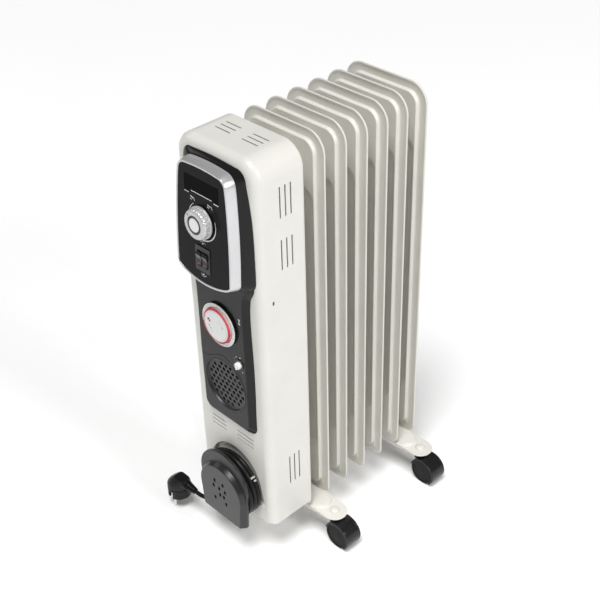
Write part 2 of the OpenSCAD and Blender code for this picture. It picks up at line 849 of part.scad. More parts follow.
fin(1);  // fin_1
fin(2);  // fin_2
fin(3);  // fin_3
fin(4);  // fin_4
fin(5);  // fin_5
fin(6);  // fin_6
fin(7);  // fin_7
upper_header();
lower_header();
heating_element();
housing();
heat_shield();
panel_body();
bezel();
face_plate();
display_window();
thermostat_knob();
knob_cap();
thermostat_shaft();
thermostat();
rocker_left();
rocker_right();
rocker_frame();
timer_ring();
timer_dial();
timer_mechanism();
selector_knob();
selector_switch();
fan_grille();
ptc_heater();
fan_frame();
fan_impeller();
fan_motor();
tip_switch();
thermal_cutout();
terminal_block();
winder();
strain_relief();
cord_coil();
cord_tail();
plug_body();
plug_pins();
bracket_front();
bracket_rear();
u_bolts();
wing_nuts();
caster_caps();
caster_fork(-1, bracket_y[0]);  // caster_fork_front_left
caster_fork(1, bracket_y[0]);  // caster_fork_front_right
caster_fork(-1, bracket_y[1]);  // caster_fork_rear_left
caster_fork(1, bracket_y[1]);  // caster_fork_rear_right
caster_axle(-1, bracket_y[0]);  // caster_axle_front_left
caster_axle(1, bracket_y[0]);  // caster_axle_front_right
caster_axle(-1, bracket_y[1]);  // caster_axle_rear_left
caster_axle(1, bracket_y[1]);  // caster_axle_rear_right
caster_wheel(-1, bracket_y[0]);  // caster_wheel_front_left
caster_wheel(1, bracket_y[0]);  // caster_wheel_front_right
caster_wheel(-1, bracket_y[1]);  // caster_wheel_rear_left
caster_wheel(1, bracket_y[1]);  // caster_wheel_rear_right
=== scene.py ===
"""Looks of the oil filled radiator heater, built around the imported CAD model.

Lengths are millimetres, apart from the lights, which are placed in metres.
"""
import math

import bmesh
import bpy
import numpy as np
from mathutils import Matrix, Vector, geometry


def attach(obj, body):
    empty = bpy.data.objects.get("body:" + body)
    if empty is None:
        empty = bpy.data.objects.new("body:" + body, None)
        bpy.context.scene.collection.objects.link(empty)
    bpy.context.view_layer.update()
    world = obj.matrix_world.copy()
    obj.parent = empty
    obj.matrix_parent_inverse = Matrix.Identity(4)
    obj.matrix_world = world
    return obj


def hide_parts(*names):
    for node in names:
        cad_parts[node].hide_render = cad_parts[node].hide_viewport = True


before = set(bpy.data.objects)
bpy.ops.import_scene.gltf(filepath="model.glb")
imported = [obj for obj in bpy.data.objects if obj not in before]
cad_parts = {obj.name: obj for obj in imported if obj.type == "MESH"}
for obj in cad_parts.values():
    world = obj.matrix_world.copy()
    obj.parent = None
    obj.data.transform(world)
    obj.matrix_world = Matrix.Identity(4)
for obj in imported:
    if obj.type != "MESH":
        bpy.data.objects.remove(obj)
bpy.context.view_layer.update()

MM = 0.001
BODY = "heater"

# ---- Camera ----

CAM_AT = (936.1, -882.9, 1246.2)
CAM_YAW, CAM_PITCH, CAM_ROLL = 46.737, 34.835, -1.651
CAM_LENS = 69.18


def make_camera():
    a, t, q = (math.radians(v) for v in (CAM_YAW, CAM_PITCH, CAM_ROLL))
    look = Vector((-math.sin(a) * math.cos(t), math.cos(a) * math.cos(t), -math.sin(t)))
    right = Vector((math.cos(a), math.sin(a), 0))
    up = right.cross(look)
    right, up = math.cos(q) * right + math.sin(q) * up, math.cos(q) * up - math.sin(q) * right
    data = bpy.data.cameras.new("camera")
    data.lens, data.sensor_width = CAM_LENS, 36
    data.clip_start, data.clip_end = 0.05, 30
    cam = bpy.data.objects.new("camera", data)
    cam.matrix_world = Matrix((
        (right.x, up.x, -look.x, CAM_AT[0] * MM),
        (right.y, up.y, -look.y, CAM_AT[1] * MM),
        (right.z, up.z, -look.z, CAM_AT[2] * MM),
        (0, 0, 0, 1)))
    bpy.context.scene.collection.objects.link(cam)
    bpy.context.scene.camera = cam


make_camera()

# ---- Materials ----

PATCH_SCALE = 14.0
BUMP_DEPTH = 0.0004
COAT_ROUGHNESS = 0.08


def nodes_of(name):
    m = bpy.data.materials.new(name)
    m.use_nodes = True
    tree = m.node_tree
    return m, tree, tree.nodes["Principled BSDF"]


def noise(tree, scale, detail=3.0, rough=0.5, stretch=(1, 1, 1)):
    coord = tree.nodes.new("ShaderNodeTexCoord")
    place = tree.nodes.new("ShaderNodeMapping")
    place.inputs["Scale"].default_value = stretch
    tree.links.new(coord.outputs["Object"], place.inputs["Vector"])
    n = tree.nodes.new("ShaderNodeTexNoise")
    n.inputs["Scale"].default_value = scale
    n.inputs["Detail"].default_value = detail
    n.inputs["Roughness"].default_value = rough
    tree.links.new(place.outputs["Vector"], n.inputs["Vector"])
    return n


def ramp(tree, source, low, high, a, b):
    r = tree.nodes.new("ShaderNodeValToRGB")
    r.color_ramp.elements[0].position, r.color_ramp.elements[1].position = low, high
    r.color_ramp.elements[0].color = (*a, 1)
    r.color_ramp.elements[1].color = (*b, 1)
    tree.links.new(source, r.inputs["Fac"])
    return r.outputs["Color"]


def surface(name, color, vary=0.04, rough=(0.3, 0.4), metal=0.0, grain=900.0, bump=0.03,
            coat=0.0, specular=0.5, stretch=(1, 1, 1)):
    """A moulded, painted or metal surface: broad patches of colour and roughness, and a fine bump."""
    m, tree, shader = nodes_of(name)
    broad = noise(tree, PATCH_SCALE, 4.0, 0.6, stretch)
    fine = noise(tree, grain, 2.0, 0.5, stretch)
    dark = tuple(max(0.0, c * (1 - vary)) for c in color)
    light = tuple(min(1.0, c * (1 + vary)) for c in color)
    out = ramp(tree, broad.outputs["Fac"], 0.35, 0.65, dark, light)
    tree.links.new(out, shader.inputs["Base Color"])
    spread = tree.nodes.new("ShaderNodeMapRange")
    spread.inputs["To Min"].default_value, spread.inputs["To Max"].default_value = rough
    tree.links.new(broad.outputs["Fac"], spread.inputs["Value"])
    tree.links.new(spread.outputs["Result"], shader.inputs["Roughness"])
    if bump:
        b = tree.nodes.new("ShaderNodeBump")
        b.inputs["Strength"].default_value = bump
        b.inputs["Distance"].default_value = BUMP_DEPTH
        tree.links.new(fine.outputs["Fac"], b.inputs["Height"])
        tree.links.new(b.outputs["Normal"], shader.inputs["Normal"])
    shader.inputs["Metallic"].default_value = metal
    shader.inputs["Coat Weight"].default_value = coat
    shader.inputs["Coat Roughness"].default_value = COAT_ROUGHNESS
    shader.inputs["Specular IOR Level"].default_value = specular
    return m


CREAM = surface("cream_enamel", (0.75, 0.737, 0.69), 0.018, (0.3, 0.42), grain=420, bump=0.05, coat=0.12)
# The fins' cream is a darker copy of the housing enamel above: painted shade that deepens the shade in the
# gaps between the fins.
FIN_SHADED_CREAM = surface("fin_enamel", (0.70, 0.686, 0.63), 0.025, (0.32, 0.46), grain=380, bump=0.07, coat=0.08)
BRACKET_CREAM = surface("bracket_enamel", (0.72, 0.706, 0.655), 0.02, (0.26, 0.36), grain=420, bump=0.06,
                        coat=0.15)
FASCIA = surface("fascia_black", (0.011, 0.011, 0.0108), 0.12, (0.2, 0.3), grain=1500, bump=0.05,
                 specular=0.25)
FACE = surface("face_black", (0.010, 0.010, 0.011), 0.1, (0.12, 0.18), grain=1500, bump=0.015,
               specular=0.07)
WINDOW = surface("window_black", (0.002, 0.002, 0.0025), 0.1, (0.04, 0.08), grain=800, bump=0.0,
                 specular=0.03)
GRILLE = surface("grille_black", (0.022, 0.022, 0.022), 0.12, (0.34, 0.46), grain=1800, bump=0.12)
SILVER = surface("bezel_silver", (0.62, 0.62, 0.63), 0.03, (0.26, 0.34), 0.6, grain=2600, bump=0.05)
KNOB = surface("knob_silver", (0.60, 0.60, 0.60), 0.05, (0.26, 0.38), 0.4, grain=2200, bump=0.06)
CAP = surface("cap_silver", (0.78, 0.78, 0.79), 0.04, (0.28, 0.36), 0.55, grain=2600, bump=0.12)
BLACK = surface("plain_black", (0.012, 0.012, 0.012), 0.1, (0.28, 0.4), grain=1600, bump=0.1)
ROCKER = surface("rocker_black", (0.016, 0.016, 0.017), 0.1, (0.14, 0.22), grain=1600, bump=0.03)
FRAME = surface("frame_black", (0.022, 0.022, 0.0225), 0.1, (0.35, 0.5), grain=1800, bump=0.12)
LAMP = surface("lamp_red", (0.26, 0.01, 0.014), 0.2, (0.08, 0.14), grain=900, bump=0.02, coat=0.5)
WHITE = surface("timer_white", (0.82, 0.82, 0.81), 0.02, (0.24, 0.34), grain=1200, bump=0.03, coat=0.1)
RED = surface("timer_red", (0.62, 0.035, 0.05), 0.08, (0.26, 0.36), grain=1200, bump=0.03)
INK_WHITE = surface("ink_white", (0.85, 0.85, 0.85), 0.03, (0.4, 0.55), grain=2000, bump=0.02)
INK_GREY = surface("ink_grey", (0.16, 0.16, 0.165), 0.05, (0.4, 0.55), grain=2000, bump=0.02)
WINDER = surface("winder_grey", (0.016, 0.0158, 0.0155), 0.08, (0.3, 0.4), grain=2200, bump=0.14,
                 specular=0.45)
WINDER_GLOSS = surface("winder_gloss", (0.018, 0.0178, 0.0175), 0.08, (0.24, 0.32), grain=2200, bump=0.1,
                       specular=0.5)
CORD = surface("cord_black", (0.012, 0.012, 0.0125), 0.15, (0.24, 0.36), grain=1400, bump=0.06,
               specular=0.16)
PLUG = surface("plug_black", (0.009, 0.009, 0.0095), 0.12, (0.3, 0.42), grain=2000, bump=0.12, specular=0.25)
NICKEL = surface("pin_nickel", (0.74, 0.72, 0.68), 0.05, (0.16, 0.28), 1.0, grain=1500, bump=0.03,
                 stretch=(1, 1, 8))
ZINC = surface("zinc", (0.62, 0.63, 0.64), 0.08, (0.28, 0.42), 1.0, grain=900, bump=0.08)
TIE = surface("tie_plastic", (0.55, 0.55, 0.54), 0.1, (0.15, 0.25), 0.3, grain=900, bump=0.05)
HOOD = surface("caster_black", (0.012, 0.012, 0.0125), 0.12, (0.22, 0.32), grain=1500, bump=0.07,
               specular=0.32)
WHEEL = surface("wheel_black", (0.009, 0.0088, 0.0088), 0.12, (0.44, 0.56), grain=1800, bump=0.1,
                specular=0.14)
STEEL = surface("inner_steel", (0.5, 0.5, 0.5), 0.1, (0.35, 0.5), 1.0, grain=500, bump=0.1)
TAN = surface("inner_moulding", (0.42, 0.36, 0.26), 0.08, (0.5, 0.6), grain=900, bump=0.1)
ALUMINIUM = surface("inner_aluminium", (0.68, 0.68, 0.69), 0.06, (0.3, 0.42), 1.0, grain=900, bump=0.08)
BRASS = surface("turned_brass", (0.66, 0.5, 0.22), 0.06, (0.22, 0.34), 1.0, grain=900, bump=0.05)

# ---- Mesh building ----


def closed_loft(rings, cap_start=True, cap_end=True, wrap=False):
    """Vertices and faces of a skin over rings of equally many points; wrap joins the last ring to
    the first."""
    n = len(rings[0])
    verts = [tuple(p) for ring in rings for p in ring]
    count = len(rings)
    faces = []
    for k in range(count if wrap else count - 1):
        a, b = k * n, ((k + 1) % count) * n
        faces += [(a + i, a + (i + 1) % n, b + (i + 1) % n, b + i) for i in range(n)]
    if not wrap:
        if cap_start:
            faces.append(tuple(reversed(range(n))))
        if cap_end:
            faces.append(tuple(range((count - 1) * n, count * n)))
    return verts, faces


def ring_shell(outer, inner):
    """Closed skin of a cup: outer rings towards its closed front, inner rings back to its rim."""
    v1, f1 = closed_loft(outer, False, True)
    v2, f2 = closed_loft(inner, True, False)
    n, base = len(outer[0]), len(v1)
    last = base + len(v2) - n
    seam = [(i, (i + 1) % n, last + (i + 1) % n, last + i) for i in range(n)]
    return v1 + v2, f1 + [tuple(i + base for i in q) for q in f2] + seam


def revolve(profile, centre, axis="y", sides=64, wave=None):
    """Turns (distance along the axis, radius) pairs round an axis through centre.

    wave(angle, k) is added to the radius of ring k.
    """
    rings = []
    for k, (d, r) in enumerate(profile):
        ring = []
        for i in range(sides):
            a = 2 * math.pi * i / sides
            q = r + (wave(a, k) if wave else 0.0)
            c, s = q * math.cos(a), q * math.sin(a)
            ring.append({"x": (d, c, s), "y": (c, d, s), "z": (c, s, d)}[axis])
        rings.append([tuple(centre[j] + p[j] for j in range(3)) for p in ring])
    return closed_loft(rings)


def tube(path, radius, sides):
    """A closed tube round a path, without twist."""
    p = np.array(path, float)
    t = np.gradient(p, axis=0)
    t /= np.linalg.norm(t, axis=1)[:, None]
    side = np.cross(t[0], (0.31, 0.52, 0.8))
    side /= np.linalg.norm(side)
    rings = []
    for k in range(len(p)):
        side = side - t[k] * (side @ t[k])
        side /= np.linalg.norm(side)
        up = np.cross(t[k], side)
        rings.append([tuple(p[k] + radius * (math.cos(w) * side + math.sin(w) * up))
                      for w in (2 * math.pi * i / sides for i in range(sides))])
    return closed_loft(rings)


def join(*parts):
    verts, faces = [], []
    for v, f in parts:
        base = len(verts)
        verts += [tuple(p) for p in v]
        faces += [tuple(i + base for i in q) for q in f]
    return verts, faces


def moved(part, fn):
    return [fn(p) for p in part[0]], part[1]


def mesh_from(name, part, smooth=35):
    v, f = part
    me = bpy.data.meshes.new(name)
    me.from_pydata([(x * MM, y * MM, z * MM) for x, y, z in v], [], f)
    bm = bmesh.new()
    bm.from_mesh(me)
    bmesh.ops.recalc_face_normals(bm, faces=bm.faces)
    bm.to_mesh(me)
    bm.free()
    shade(me, smooth)
    return me


def shade(me, smooth):
    me.polygons.foreach_set("use_smooth", [True] * len(me.polygons))
    me.set_sharp_from_angle(angle=math.radians(smooth))
    me.update()


def link(name, me, material):
    o = bpy.data.objects.new(name, me)
    bpy.context.scene.collection.objects.link(o)
    if material is not None:
        me.materials.clear()
        me.materials.append(material)
    return o


def bake(o):
    """Applies the object's modifiers to its mesh."""
    dg = bpy.context.evaluated_depsgraph_get()
    me = bpy.data.meshes.new_from_object(o.evaluated_get(dg), preserve_all_data_layers=True, depsgraph=dg)
    o.modifiers.clear()
    o.data = me


def cut(o, *parts, smooth=35):
    """Takes the closed parts away from the object."""
    for part in parts:
        tool = link("cutter", mesh_from("cutter", part), None)
        m = o.modifiers.new("cut", "BOOLEAN")
        m.operation, m.solver, m.object = "DIFFERENCE", "EXACT", tool
        bake(o)
        bpy.data.objects.remove(tool)
    shade(o.data, smooth)


def piece(name, part, material, body=BODY, stands_for=(), smooth=35, cuts=(), bevel=None,
          weighted=True):
    o = link(name, mesh_from(name, part, smooth), material)
    for c in cuts:
        cut(o, c, smooth=smooth)
    if bevel:
        b = o.modifiers.new("bevel", "BEVEL")
        b.width, b.segments = bevel * MM, 2
        b.limit_method, b.angle_limit = "ANGLE", math.radians(40)
        b.miter_outer = "MITER_ARC"
    if weighted:
        w = o.modifiers.new("weighted", "WEIGHTED_NORMAL")
        w.keep_sharp = not bevel
    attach(o, body)
    if stands_for:
        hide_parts(*stands_for)
    return o


def box(x0, x1, y0, y1, z0, z1):
    v = [(x, y, z) for y in (y0, y1) for x, z in ((x0, z0), (x1, z0), (x1, z1), (x0, z1))]
    return v, [(0, 1, 2, 3), (7, 6, 5, 4), (0, 4, 5, 1), (1, 5, 6, 2), (2, 6, 7, 3), (3, 7, 4, 0)]


def prism(outline, y0, y1):
    """A prism along Y over an outline of (x, z) points."""
    return closed_loft([[(x, y0, z) for x, z in outline], [(x, y1, z) for x, z in outline]])


def arc(cx, cz, r, a0, a1, n):
    return [(cx + r * math.cos(math.radians(a0 + (a1 - a0) * k / n)),
             cz + r * math.sin(math.radians(a0 + (a1 - a0) * k / n))) for k in range(n + 1)]


def tall(hw, z0, z1, rt, rb, n=12, rows=14):
    """Upright outline with top and bottom corner radii, clockwise from the top middle.

    It has the same number of points for any size.
    """
    rt, rb = max(rt, 0.2), max(rb, 0.2)
    right = [((hw - rt) * k / 4, z1) for k in range(4)]
    right += arc(hw - rt, z1 - rt, rt, 90, 0, n)
    right += [(hw, z1 - rt + (z0 + rb - z1 + rt) * k / rows) for k in range(1, rows)]
    right += arc(hw - rb, z0 + rb, rb, 0, -90, n)
    right += [((hw - rb) * k / 4, z0) for k in (3, 2, 1)]
    return right + [(0, z0)] + [(-x, z) for x, z in reversed(right[1:])]


def smoothstep(t):
    t = min(max(t, 0.0), 1.0)
    return t * t * (3 - 2 * t)


# ---- Mains cord: two layers of turns on the winder, then the tail to the plug ----

CORD_R = 3.2
COIL_Z = 112.5
LEAD_X, LEAD_Y, LEAD_Z = -12, -137.5, 82.5
R_INNER, R_OUTER = 42.4, 48.8
ROW_STEP = 6.5
TAIL = [(0, -137.5, 63.7), (-10, -137.7, 62.6), (-20, -139.3, 59.6), (-30, -142.4, 55.8), (-39, -146, 52.6),
        (-47, -149.2, 50.4), (-55, -151.8, 48.8), (-62, -153.1, 48.1), (-68, -153.5, 48),
        (-73.9, -153.5, 48)]


def cord_path():
    """The cord's centreline, from the strain relief to the plug.

    It goes round the inner layer towards the front, and back over it in the outer layer.
    """
    bend_x = LEAD_X - 1
    # The lead turns up on a bend that runs into the inner layer without a corner
    bend_r = (897.8 - bend_x ** 2) / 24.8
    pts = [(LEAD_X, LEAD_Y, LEAD_Z), (LEAD_X - 0.5, LEAD_Y, LEAD_Z)]
    join_a = math.degrees(math.atan2(LEAD_Z + bend_r - COIL_Z, bend_x)) % 360
    sweep = 270 - join_a
    pts += [(bend_x + bend_r * math.cos(math.radians(270 - sweep * k / 14)), LEAD_Y,
             LEAD_Z + bend_r + bend_r * math.sin(math.radians(270 - sweep * k / 14))) for k in range(14)]
    end = join_a + 90 + 4 * 360
    steps = int(end / 6)
    for k in range(steps):
        w = end * k / steps
        row = smoothstep((w - 210) / 90) + smoothstep((w - 570) / 90)
        row -= smoothstep((w - 1100) / 90) + smoothstep((w - 1460) / 90)
        r = R_INNER + (R_OUTER - R_INNER) * smoothstep((w - 830) / 90)
        a = math.radians(join_a - w)
        pts.append((r * math.cos(a), LEAD_Y - ROW_STEP * row, COIL_Z + r * math.sin(a)))
    return pts + spline(TAIL, 4, (-1, 0, 0), (-1, 0, 0))


def spline(points, per, start, end):
    """Catmull-Rom curve through the points, with set end directions."""
    p = np.array(points, float)
    m = np.gradient(p, axis=0)
    m[0] = np.array(start) * np.linalg.norm(p[1] - p[0])
    m[-1] = np.array(end) * np.linalg.norm(p[-1] - p[-2])
    out = []
    for k in range(len(p) - 1):
        for j in range(per):
            t = j / per
            out.append(tuple((2 * t**3 - 3 * t**2 + 1) * p[k] + (t**3 - 2 * t**2 + t) * m[k]
                             + (3 * t**2 - 2 * t**3) * p[k + 1] + (t**3 - t**2) * m[k + 1]))
    return out + [tuple(p[-1])]


CORD_PATH = cord_path()
cord = piece("mains_cord", tube(CORD_PATH, CORD_R, 18), CORD,
             stands_for=("cord_coil", "cord_tail"), smooth=60, weighted=False)

PLUG_AT = (-115, -153.5)
NOSE_Z = 48
FACE_Z = 19.2


def on_plug(p):
    return PLUG_AT[0] + p[0], PLUG_AT[1] + p[1], p[2]


def super_ring(cx, cy, rx, ry, power, z, n=48):
    """A rounded rectangle on a level plane."""
    out = []
    for k in range(n):
        a = 2 * math.pi * k / n
        c, s = math.cos(a), math.sin(a)
        out.append((cx + rx * math.copysign(abs(c) ** (2 / power), c),
                    cy + ry * math.copysign(abs(s) ** (2 / power), s), z))
    return out


NOSE_SECTIONS = ((4, 11.5, 7.9), (12, 10.4, 7.8), (17, 8.9, 7.7), (20, 7.9, 7.5), (22, 7.3, 7.2),
                 (22.6, 6.2, 6.2))


def plug_parts():
    lower = revolve([(FACE_Z, 16.6), (FACE_Z + 0.5, 17.4), (FACE_Z + 1.2, 17.6), (FACE_Z + 15.5, 17.6),
                     (FACE_Z + 16.6, 17.3), (FACE_Z + 17.2, 16.6)], (0, 0, 0), "z", 64)
    upper = closed_loft([
        super_ring(0, 0, 16.4, 16.4, 2.0, FACE_Z + 16.5),
        super_ring(0, 0, 17.3, 17.0, 2.1, FACE_Z + 18.5),
        super_ring(0.2, 0, 17.2, 16.6, 2.3, FACE_Z + 21.5),
        super_ring(1.8, 0, 16.2, 14.8, 2.6, 45),
        super_ring(4.4, 0, 14.0, 12.2, 3.2, 49.6),
        super_ring(6.8, 0, 11.8, 9.8, 4.0, 53.4),
        super_ring(7.9, 0, 10.6, 8.8, 4.6, 55.0),
        super_ring(8.1, 0, 10.2, 8.4, 4.8, 55.7),
        super_ring(8.1, 0, 9.4, 7.6, 4.8, 56)])
    nose_rings = []
    for x, hy, hz in NOSE_SECTIONS:
        nose_rings.append([(x, hy * math.cos(a), NOSE_Z + hz * math.sin(a))
                           for a in (2 * math.pi * i / 48 for i in range(48))])
    nose = closed_loft(nose_rings)
    return [moved(q, on_plug) for q in (lower, upper, nose)]


def plug_relief():
    """Ribbed strain relief: rings that shrink towards the cord."""
    profile = [(21, 5.2)]
    for k in range(6):
        x, r = 22.9 + 3.0 * k, 6.9 - 0.42 * k
        profile += [(x, r - 1.7), (x + 0.2, r - 0.25), (x + 0.5, r), (x + 1.3, r - 0.05),
                    (x + 1.6, r - 0.3), (x + 1.8, r - 1.7)]
    profile += [(41, 3.4)]
    return moved(revolve(profile, (0, 0, NOSE_Z), "x", 40), on_plug)


def plug_pins():
    out = []
    for y in (-9.5, 9.5):
        profile = [(0.2, 0.8), (0.35, 1.5), (0.8, 2.0), (1.6, 2.33), (2.6, 2.4), (19.2, 2.4)]
        out.append(moved(revolve(profile, (0, y, 0), "z", 28), on_plug))
    return join(*out)


SIDE_FLATS = [moved(box(-4.2, 4.2, s * 16.2 - 1.8, s * 16.2 + 1.8, FACE_Z - 1, FACE_Z + 13), on_plug)
              for s in (-1, 1)]
body_parts = plug_parts()
plug_body = piece("plug_body_shell", join(body_parts[1], body_parts[2], plug_relief()), PLUG,
                  stands_for=("plug_body",), smooth=42)
plug_face = piece("plug_face_disc", body_parts[0], PLUG, smooth=38, cuts=SIDE_FLATS)
clip_boxes = [box(-2.6, 2.6, s * 14.5 - 0.35, s * 14.5 + 0.35, FACE_Z + 0.3, FACE_Z + 12.4) for s in (-1, 1)]
clips = piece("plug_earth_clips", moved(join(*clip_boxes), on_plug), NICKEL, bevel=0.2)
pins = piece("plug_pin_pair", plug_pins(), NICKEL, stands_for=("plug_pins",), smooth=50,
             weighted=False)

# ---- Oil fins ----

FIN_COUNT, FIN_Y, FIN_PITCH = 7, -59.0, 37.2
# Half-width, bottom, top, upper and lower corner radius
RIM = (71.6, 52, 632, 28.8, 13.8)
TRAY = (58.6, 66, 619.5, 18, 14)
VIEW = (56.2, 137, 554, 17, 17)
CHANNEL_X = (-28, 0, 28)
CHANNEL_STEPS = (-7, -5.6, -4.3, -2.8, -1.4, 0, 1.4, 2.8, 4.3, 5.6, 7)


def grown(outline, g):
    hw, z0, z1, rt, rb = outline
    return tall(hw + g, z0 - g, z1 + g, rt + g, rb + g)


def fin_section():
    """Rings of one side of a fin, from the rim's edge to the window's floor, as (outline, growth, depth)."""
    rim = [(0, 0.0), (-0.12, 0.7), (-0.5, 1.2), (-1.2, 1.4), (-2.3, 1.38), (-2.9, 1.15), (-3.3, 0.95),
           (-7, 0.92), (-11.2, 0.92), (-12.0, 1.05), (-12.6, 1.5)]
    tray = [(-0.05, 2.4), (-0.15, 5.3), (-0.3, 5.95), (-0.6, 6.4), (-1.0, 6.7), (-1.4, 6.8), (-1.6, 6.8)]
    view = [(0.4, 6.8), (0.0, 6.74), (-0.4, 6.5), (-0.9, 6.0), (-1.6, 5.2), (-4.6, 3.4), (-6.2, 2.7),
            (-7.6, 2.35),
            (-9.0, 2.2)]
    return [(RIM, g, d) for g, d in rim] + [(TRAY, g, d) for g, d in tray] + [(VIEW, g, d) for g, d in view]


def channel_height(x, edge):
    """How far the pressed oil channels stand above the window's floor."""
    best = 0.0
    for cx in CHANNEL_X:
        t = 1 - abs(x - cx) / 7.0
        if t > 0:
            best = max(best, 3.7 * (0.5 - 0.5 * math.cos(math.pi * min(1.0, t * 1.35))))
    return best * smoothstep(edge / 12)


def fin_mesh():
    sect = fin_section()
    verts, faces = [], []
    n = len(tall(*RIM))
    for s in (-1, 1):
        rings = [[(x, s * d, z) for x, z in grown(o, g)] for o, g, d in (sect if s < 0 else sect[1:])]
        v, f = closed_loft(rings, False, False)
        base = len(verts)
        verts += v
        faces += [tuple(i + base for i in q) for q in f]
        if s > 0:
            faces += [(i, (i + 1) % n, base + (i + 1) % n, base + i) for i in range(n)]
        floor_y = s * sect[-1][2]
        edge = [Vector((x, z)) for x, z in grown(VIEW, sect[-1][1])]
        start = len(verts) - n
        xs = sorted({round(cx + dx, 2) for cx in CHANNEL_X for dx in CHANNEL_STEPS} | {-40.0, -14.0, 14.0,
                                                                                       40.0})
        inner, zz = [], [142 + 7.5 * k for k in range(55)]
        for z in zz:
            for x in xs:
                gap = min((Vector((x, z)) - e).length for e in edge)
                if gap > 2.2 and inside(x, z, edge):
                    inner.append((x, z, gap))
        co = edge + [Vector((x, z)) for x, z, _ in inner]
        loops = [(k, (k + 1) % n) for k in range(n)]
        out = geometry.delaunay_2d_cdt(co, loops, [], 1, 1e-5)
        where = []
        for k, p in enumerate(out[0]):
            src = out[3][k][0] if out[3][k] else -1
            if 0 <= src < n:
                where.append(start + src)
            else:
                gap = inner[src - n][2] if src >= n else 0
                where.append(len(verts))
                verts.append((p.x, floor_y + s * channel_height(p.x, gap), p.y))
        faces += [tuple(where[i] for i in f) for f in out[2]]
    return verts, faces


def inside(x, z, loop):
    hit = False
    for k in range(len(loop)):
        a, b = loop[k], loop[(k + 1) % len(loop)]
        if (a.y > z) != (b.y > z) and x < a.x + (b.x - a.x) * (z - a.y) / (b.y - a.y):
            hit = not hit
    return hit


def make_fins():
    me = mesh_from("fin_skin", fin_mesh(), 50)
    me.materials.append(FIN_SHADED_CREAM)
    for k in range(FIN_COUNT):
        o = bpy.data.objects.new("fin_skin_%d" % (k + 1), me)
        bpy.context.scene.collection.objects.link(o)
        o.location = (0, (FIN_Y + k * FIN_PITCH) * MM, 0)
        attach(o, BODY)
        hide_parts("fin_%d" % (k + 1))


make_fins()

# ---- Control housing ----

HOUSE_Y0, HOUSE_Y1 = -133.9, -60.4
HOUSE_HALF_W, HOUSE_Z0, HOUSE_Z1 = 72, 62, 634
HOUSE_R_TOP, HOUSE_R_LOW, HOUSE_EDGE_R = 28, 5, 12
SHEET = 1.5
SLOT_Y, SLOT_HALF_W = (-97.3, -88.5, -79.7), 1.05
RECESS_Z, RECESS_R, RECESS_FOOT, FOOT_HALF_W = 120, 50, 92, 58
TIMER_Z, SELECT_X, SELECT_Z, GRILLE_Z = 385, 32.5, 336.5, 285


def house_ring(inset, y):
    r_top = max(HOUSE_R_TOP - inset * 0.9, 12)
    r_low = max(HOUSE_R_LOW - inset * 0.35, 1.2)
    outline = tall(HOUSE_HALF_W - inset, HOUSE_Z0 + min(inset, 4), HOUSE_Z1 - inset, r_top, r_low)
    return [(x, y, z) for x, z in outline]


def housing_solid():
    r = HOUSE_EDGE_R
    rings = [house_ring(0, y) for y in (HOUSE_Y1, HOUSE_Y1 - 0.3, HOUSE_Y0 + r + 8, HOUSE_Y0 + r)]
    for k in range(1, 11):
        a = math.radians(9 * k)
        rings.append(house_ring(r * (1 - math.cos(a)), HOUSE_Y0 + r * (1 - math.sin(a))))
    rings.append(house_ring(r + 1.2, HOUSE_Y0))
    ri = r - SHEET
    inner = [house_ring(r + 1.2, HOUSE_Y0 + SHEET)]
    for k in range(10, 0, -1):
        a = math.radians(9 * k)
        inner.append(house_ring(SHEET + ri * (1 - math.cos(a)), HOUSE_Y0 + SHEET + ri * (1 - math.sin(a))))
    inner += [house_ring(SHEET, HOUSE_Y0 + r), house_ring(SHEET, HOUSE_Y1)]
    return ring_shell(rings, inner)


def recess_outline(g):
    """Arch behind the cord winder, from the foot on the right over the top to the foot on the left."""
    foot = FOOT_HALF_W + g
    return [(foot, RECESS_FOOT - g)] + arc(0, RECESS_Z, RECESS_R + g, 10, 170,
                                           48) + [(-foot, RECESS_FOOT - g)]


def slot_tools():
    """Slots in the sides, the top and the front, and the small hole in the right-hand side."""
    out = []
    for z0, z1 in ((550.5, 593.3), (478, 521), (125, 174.5)):
        out += [box(s * HOUSE_HALF_W - 4, s * HOUSE_HALF_W + 4, y - SLOT_HALF_W, y + SLOT_HALF_W, z0, z1)
                for y in SLOT_Y for s in (-1, 1)]
    for y in SLOT_Y:
        out += [box(x0, x1, y - SLOT_HALF_W, y + SLOT_HALF_W, 628, 638) for x0,
                x1 in ((-38, -10.3), (9.9, 38))]
    for z in (206, 199, 192):
        out += [box(x0, x1, HOUSE_Y0 - 3, HOUSE_Y0 + 4, z - 1, z + 1) for x0, x1 in ((-43, -15), (8, 41.5))]
    out.append(box(68, 76, -115.6, -112.6, 433.8, 439.8))
    return join(*out)


def front_tools():
    """Openings hidden behind the pod, timer, grille and selector."""
    disc = lambda z, r: prism(arc(0, z, r, 0, 354, 59), HOUSE_Y0 - 3, HOUSE_Y0 + 4)
    return join(box(-40, 40, HOUSE_Y0 - 3, HOUSE_Y0 + 4, 470, 606), disc(TIMER_Z, 26), disc(GRILLE_Z, 36),
                box(SELECT_X - 10, SELECT_X + 10, HOUSE_Y0 - 3, HOUSE_Y0 + 4, 327, 349))


recess_cut = prism(recess_outline(1.6), HOUSE_Y0 - 2, HOUSE_Y0 + 3)
piece("housing_shell", housing_solid(), CREAM, stands_for=("housing",), smooth=32,
      cuts=(slot_tools(), front_tools(), recess_cut))


def recess_part():
    """The pressing as one closed solid: front skin from the mouth to the floor, and back skin behind it."""
    front = [(1.6, 0.0), (0.9, 0.12), (0.3, 0.6), (0.0, 1.5), (-0.1, 4.0), (-0.5, 5.1), (-1.4, 5.8),
             (-2.6, 6.0)]
    back = [(-2.6, 7.5), (0.6, 7.5), (1.6, 6.6), (1.6, 1.4)]
    ring = lambda g, d: [(x, HOUSE_Y0 + d, z) for x, z in recess_outline(g)]
    return ring_shell([ring(*s) for s in front], [ring(*s) for s in back])


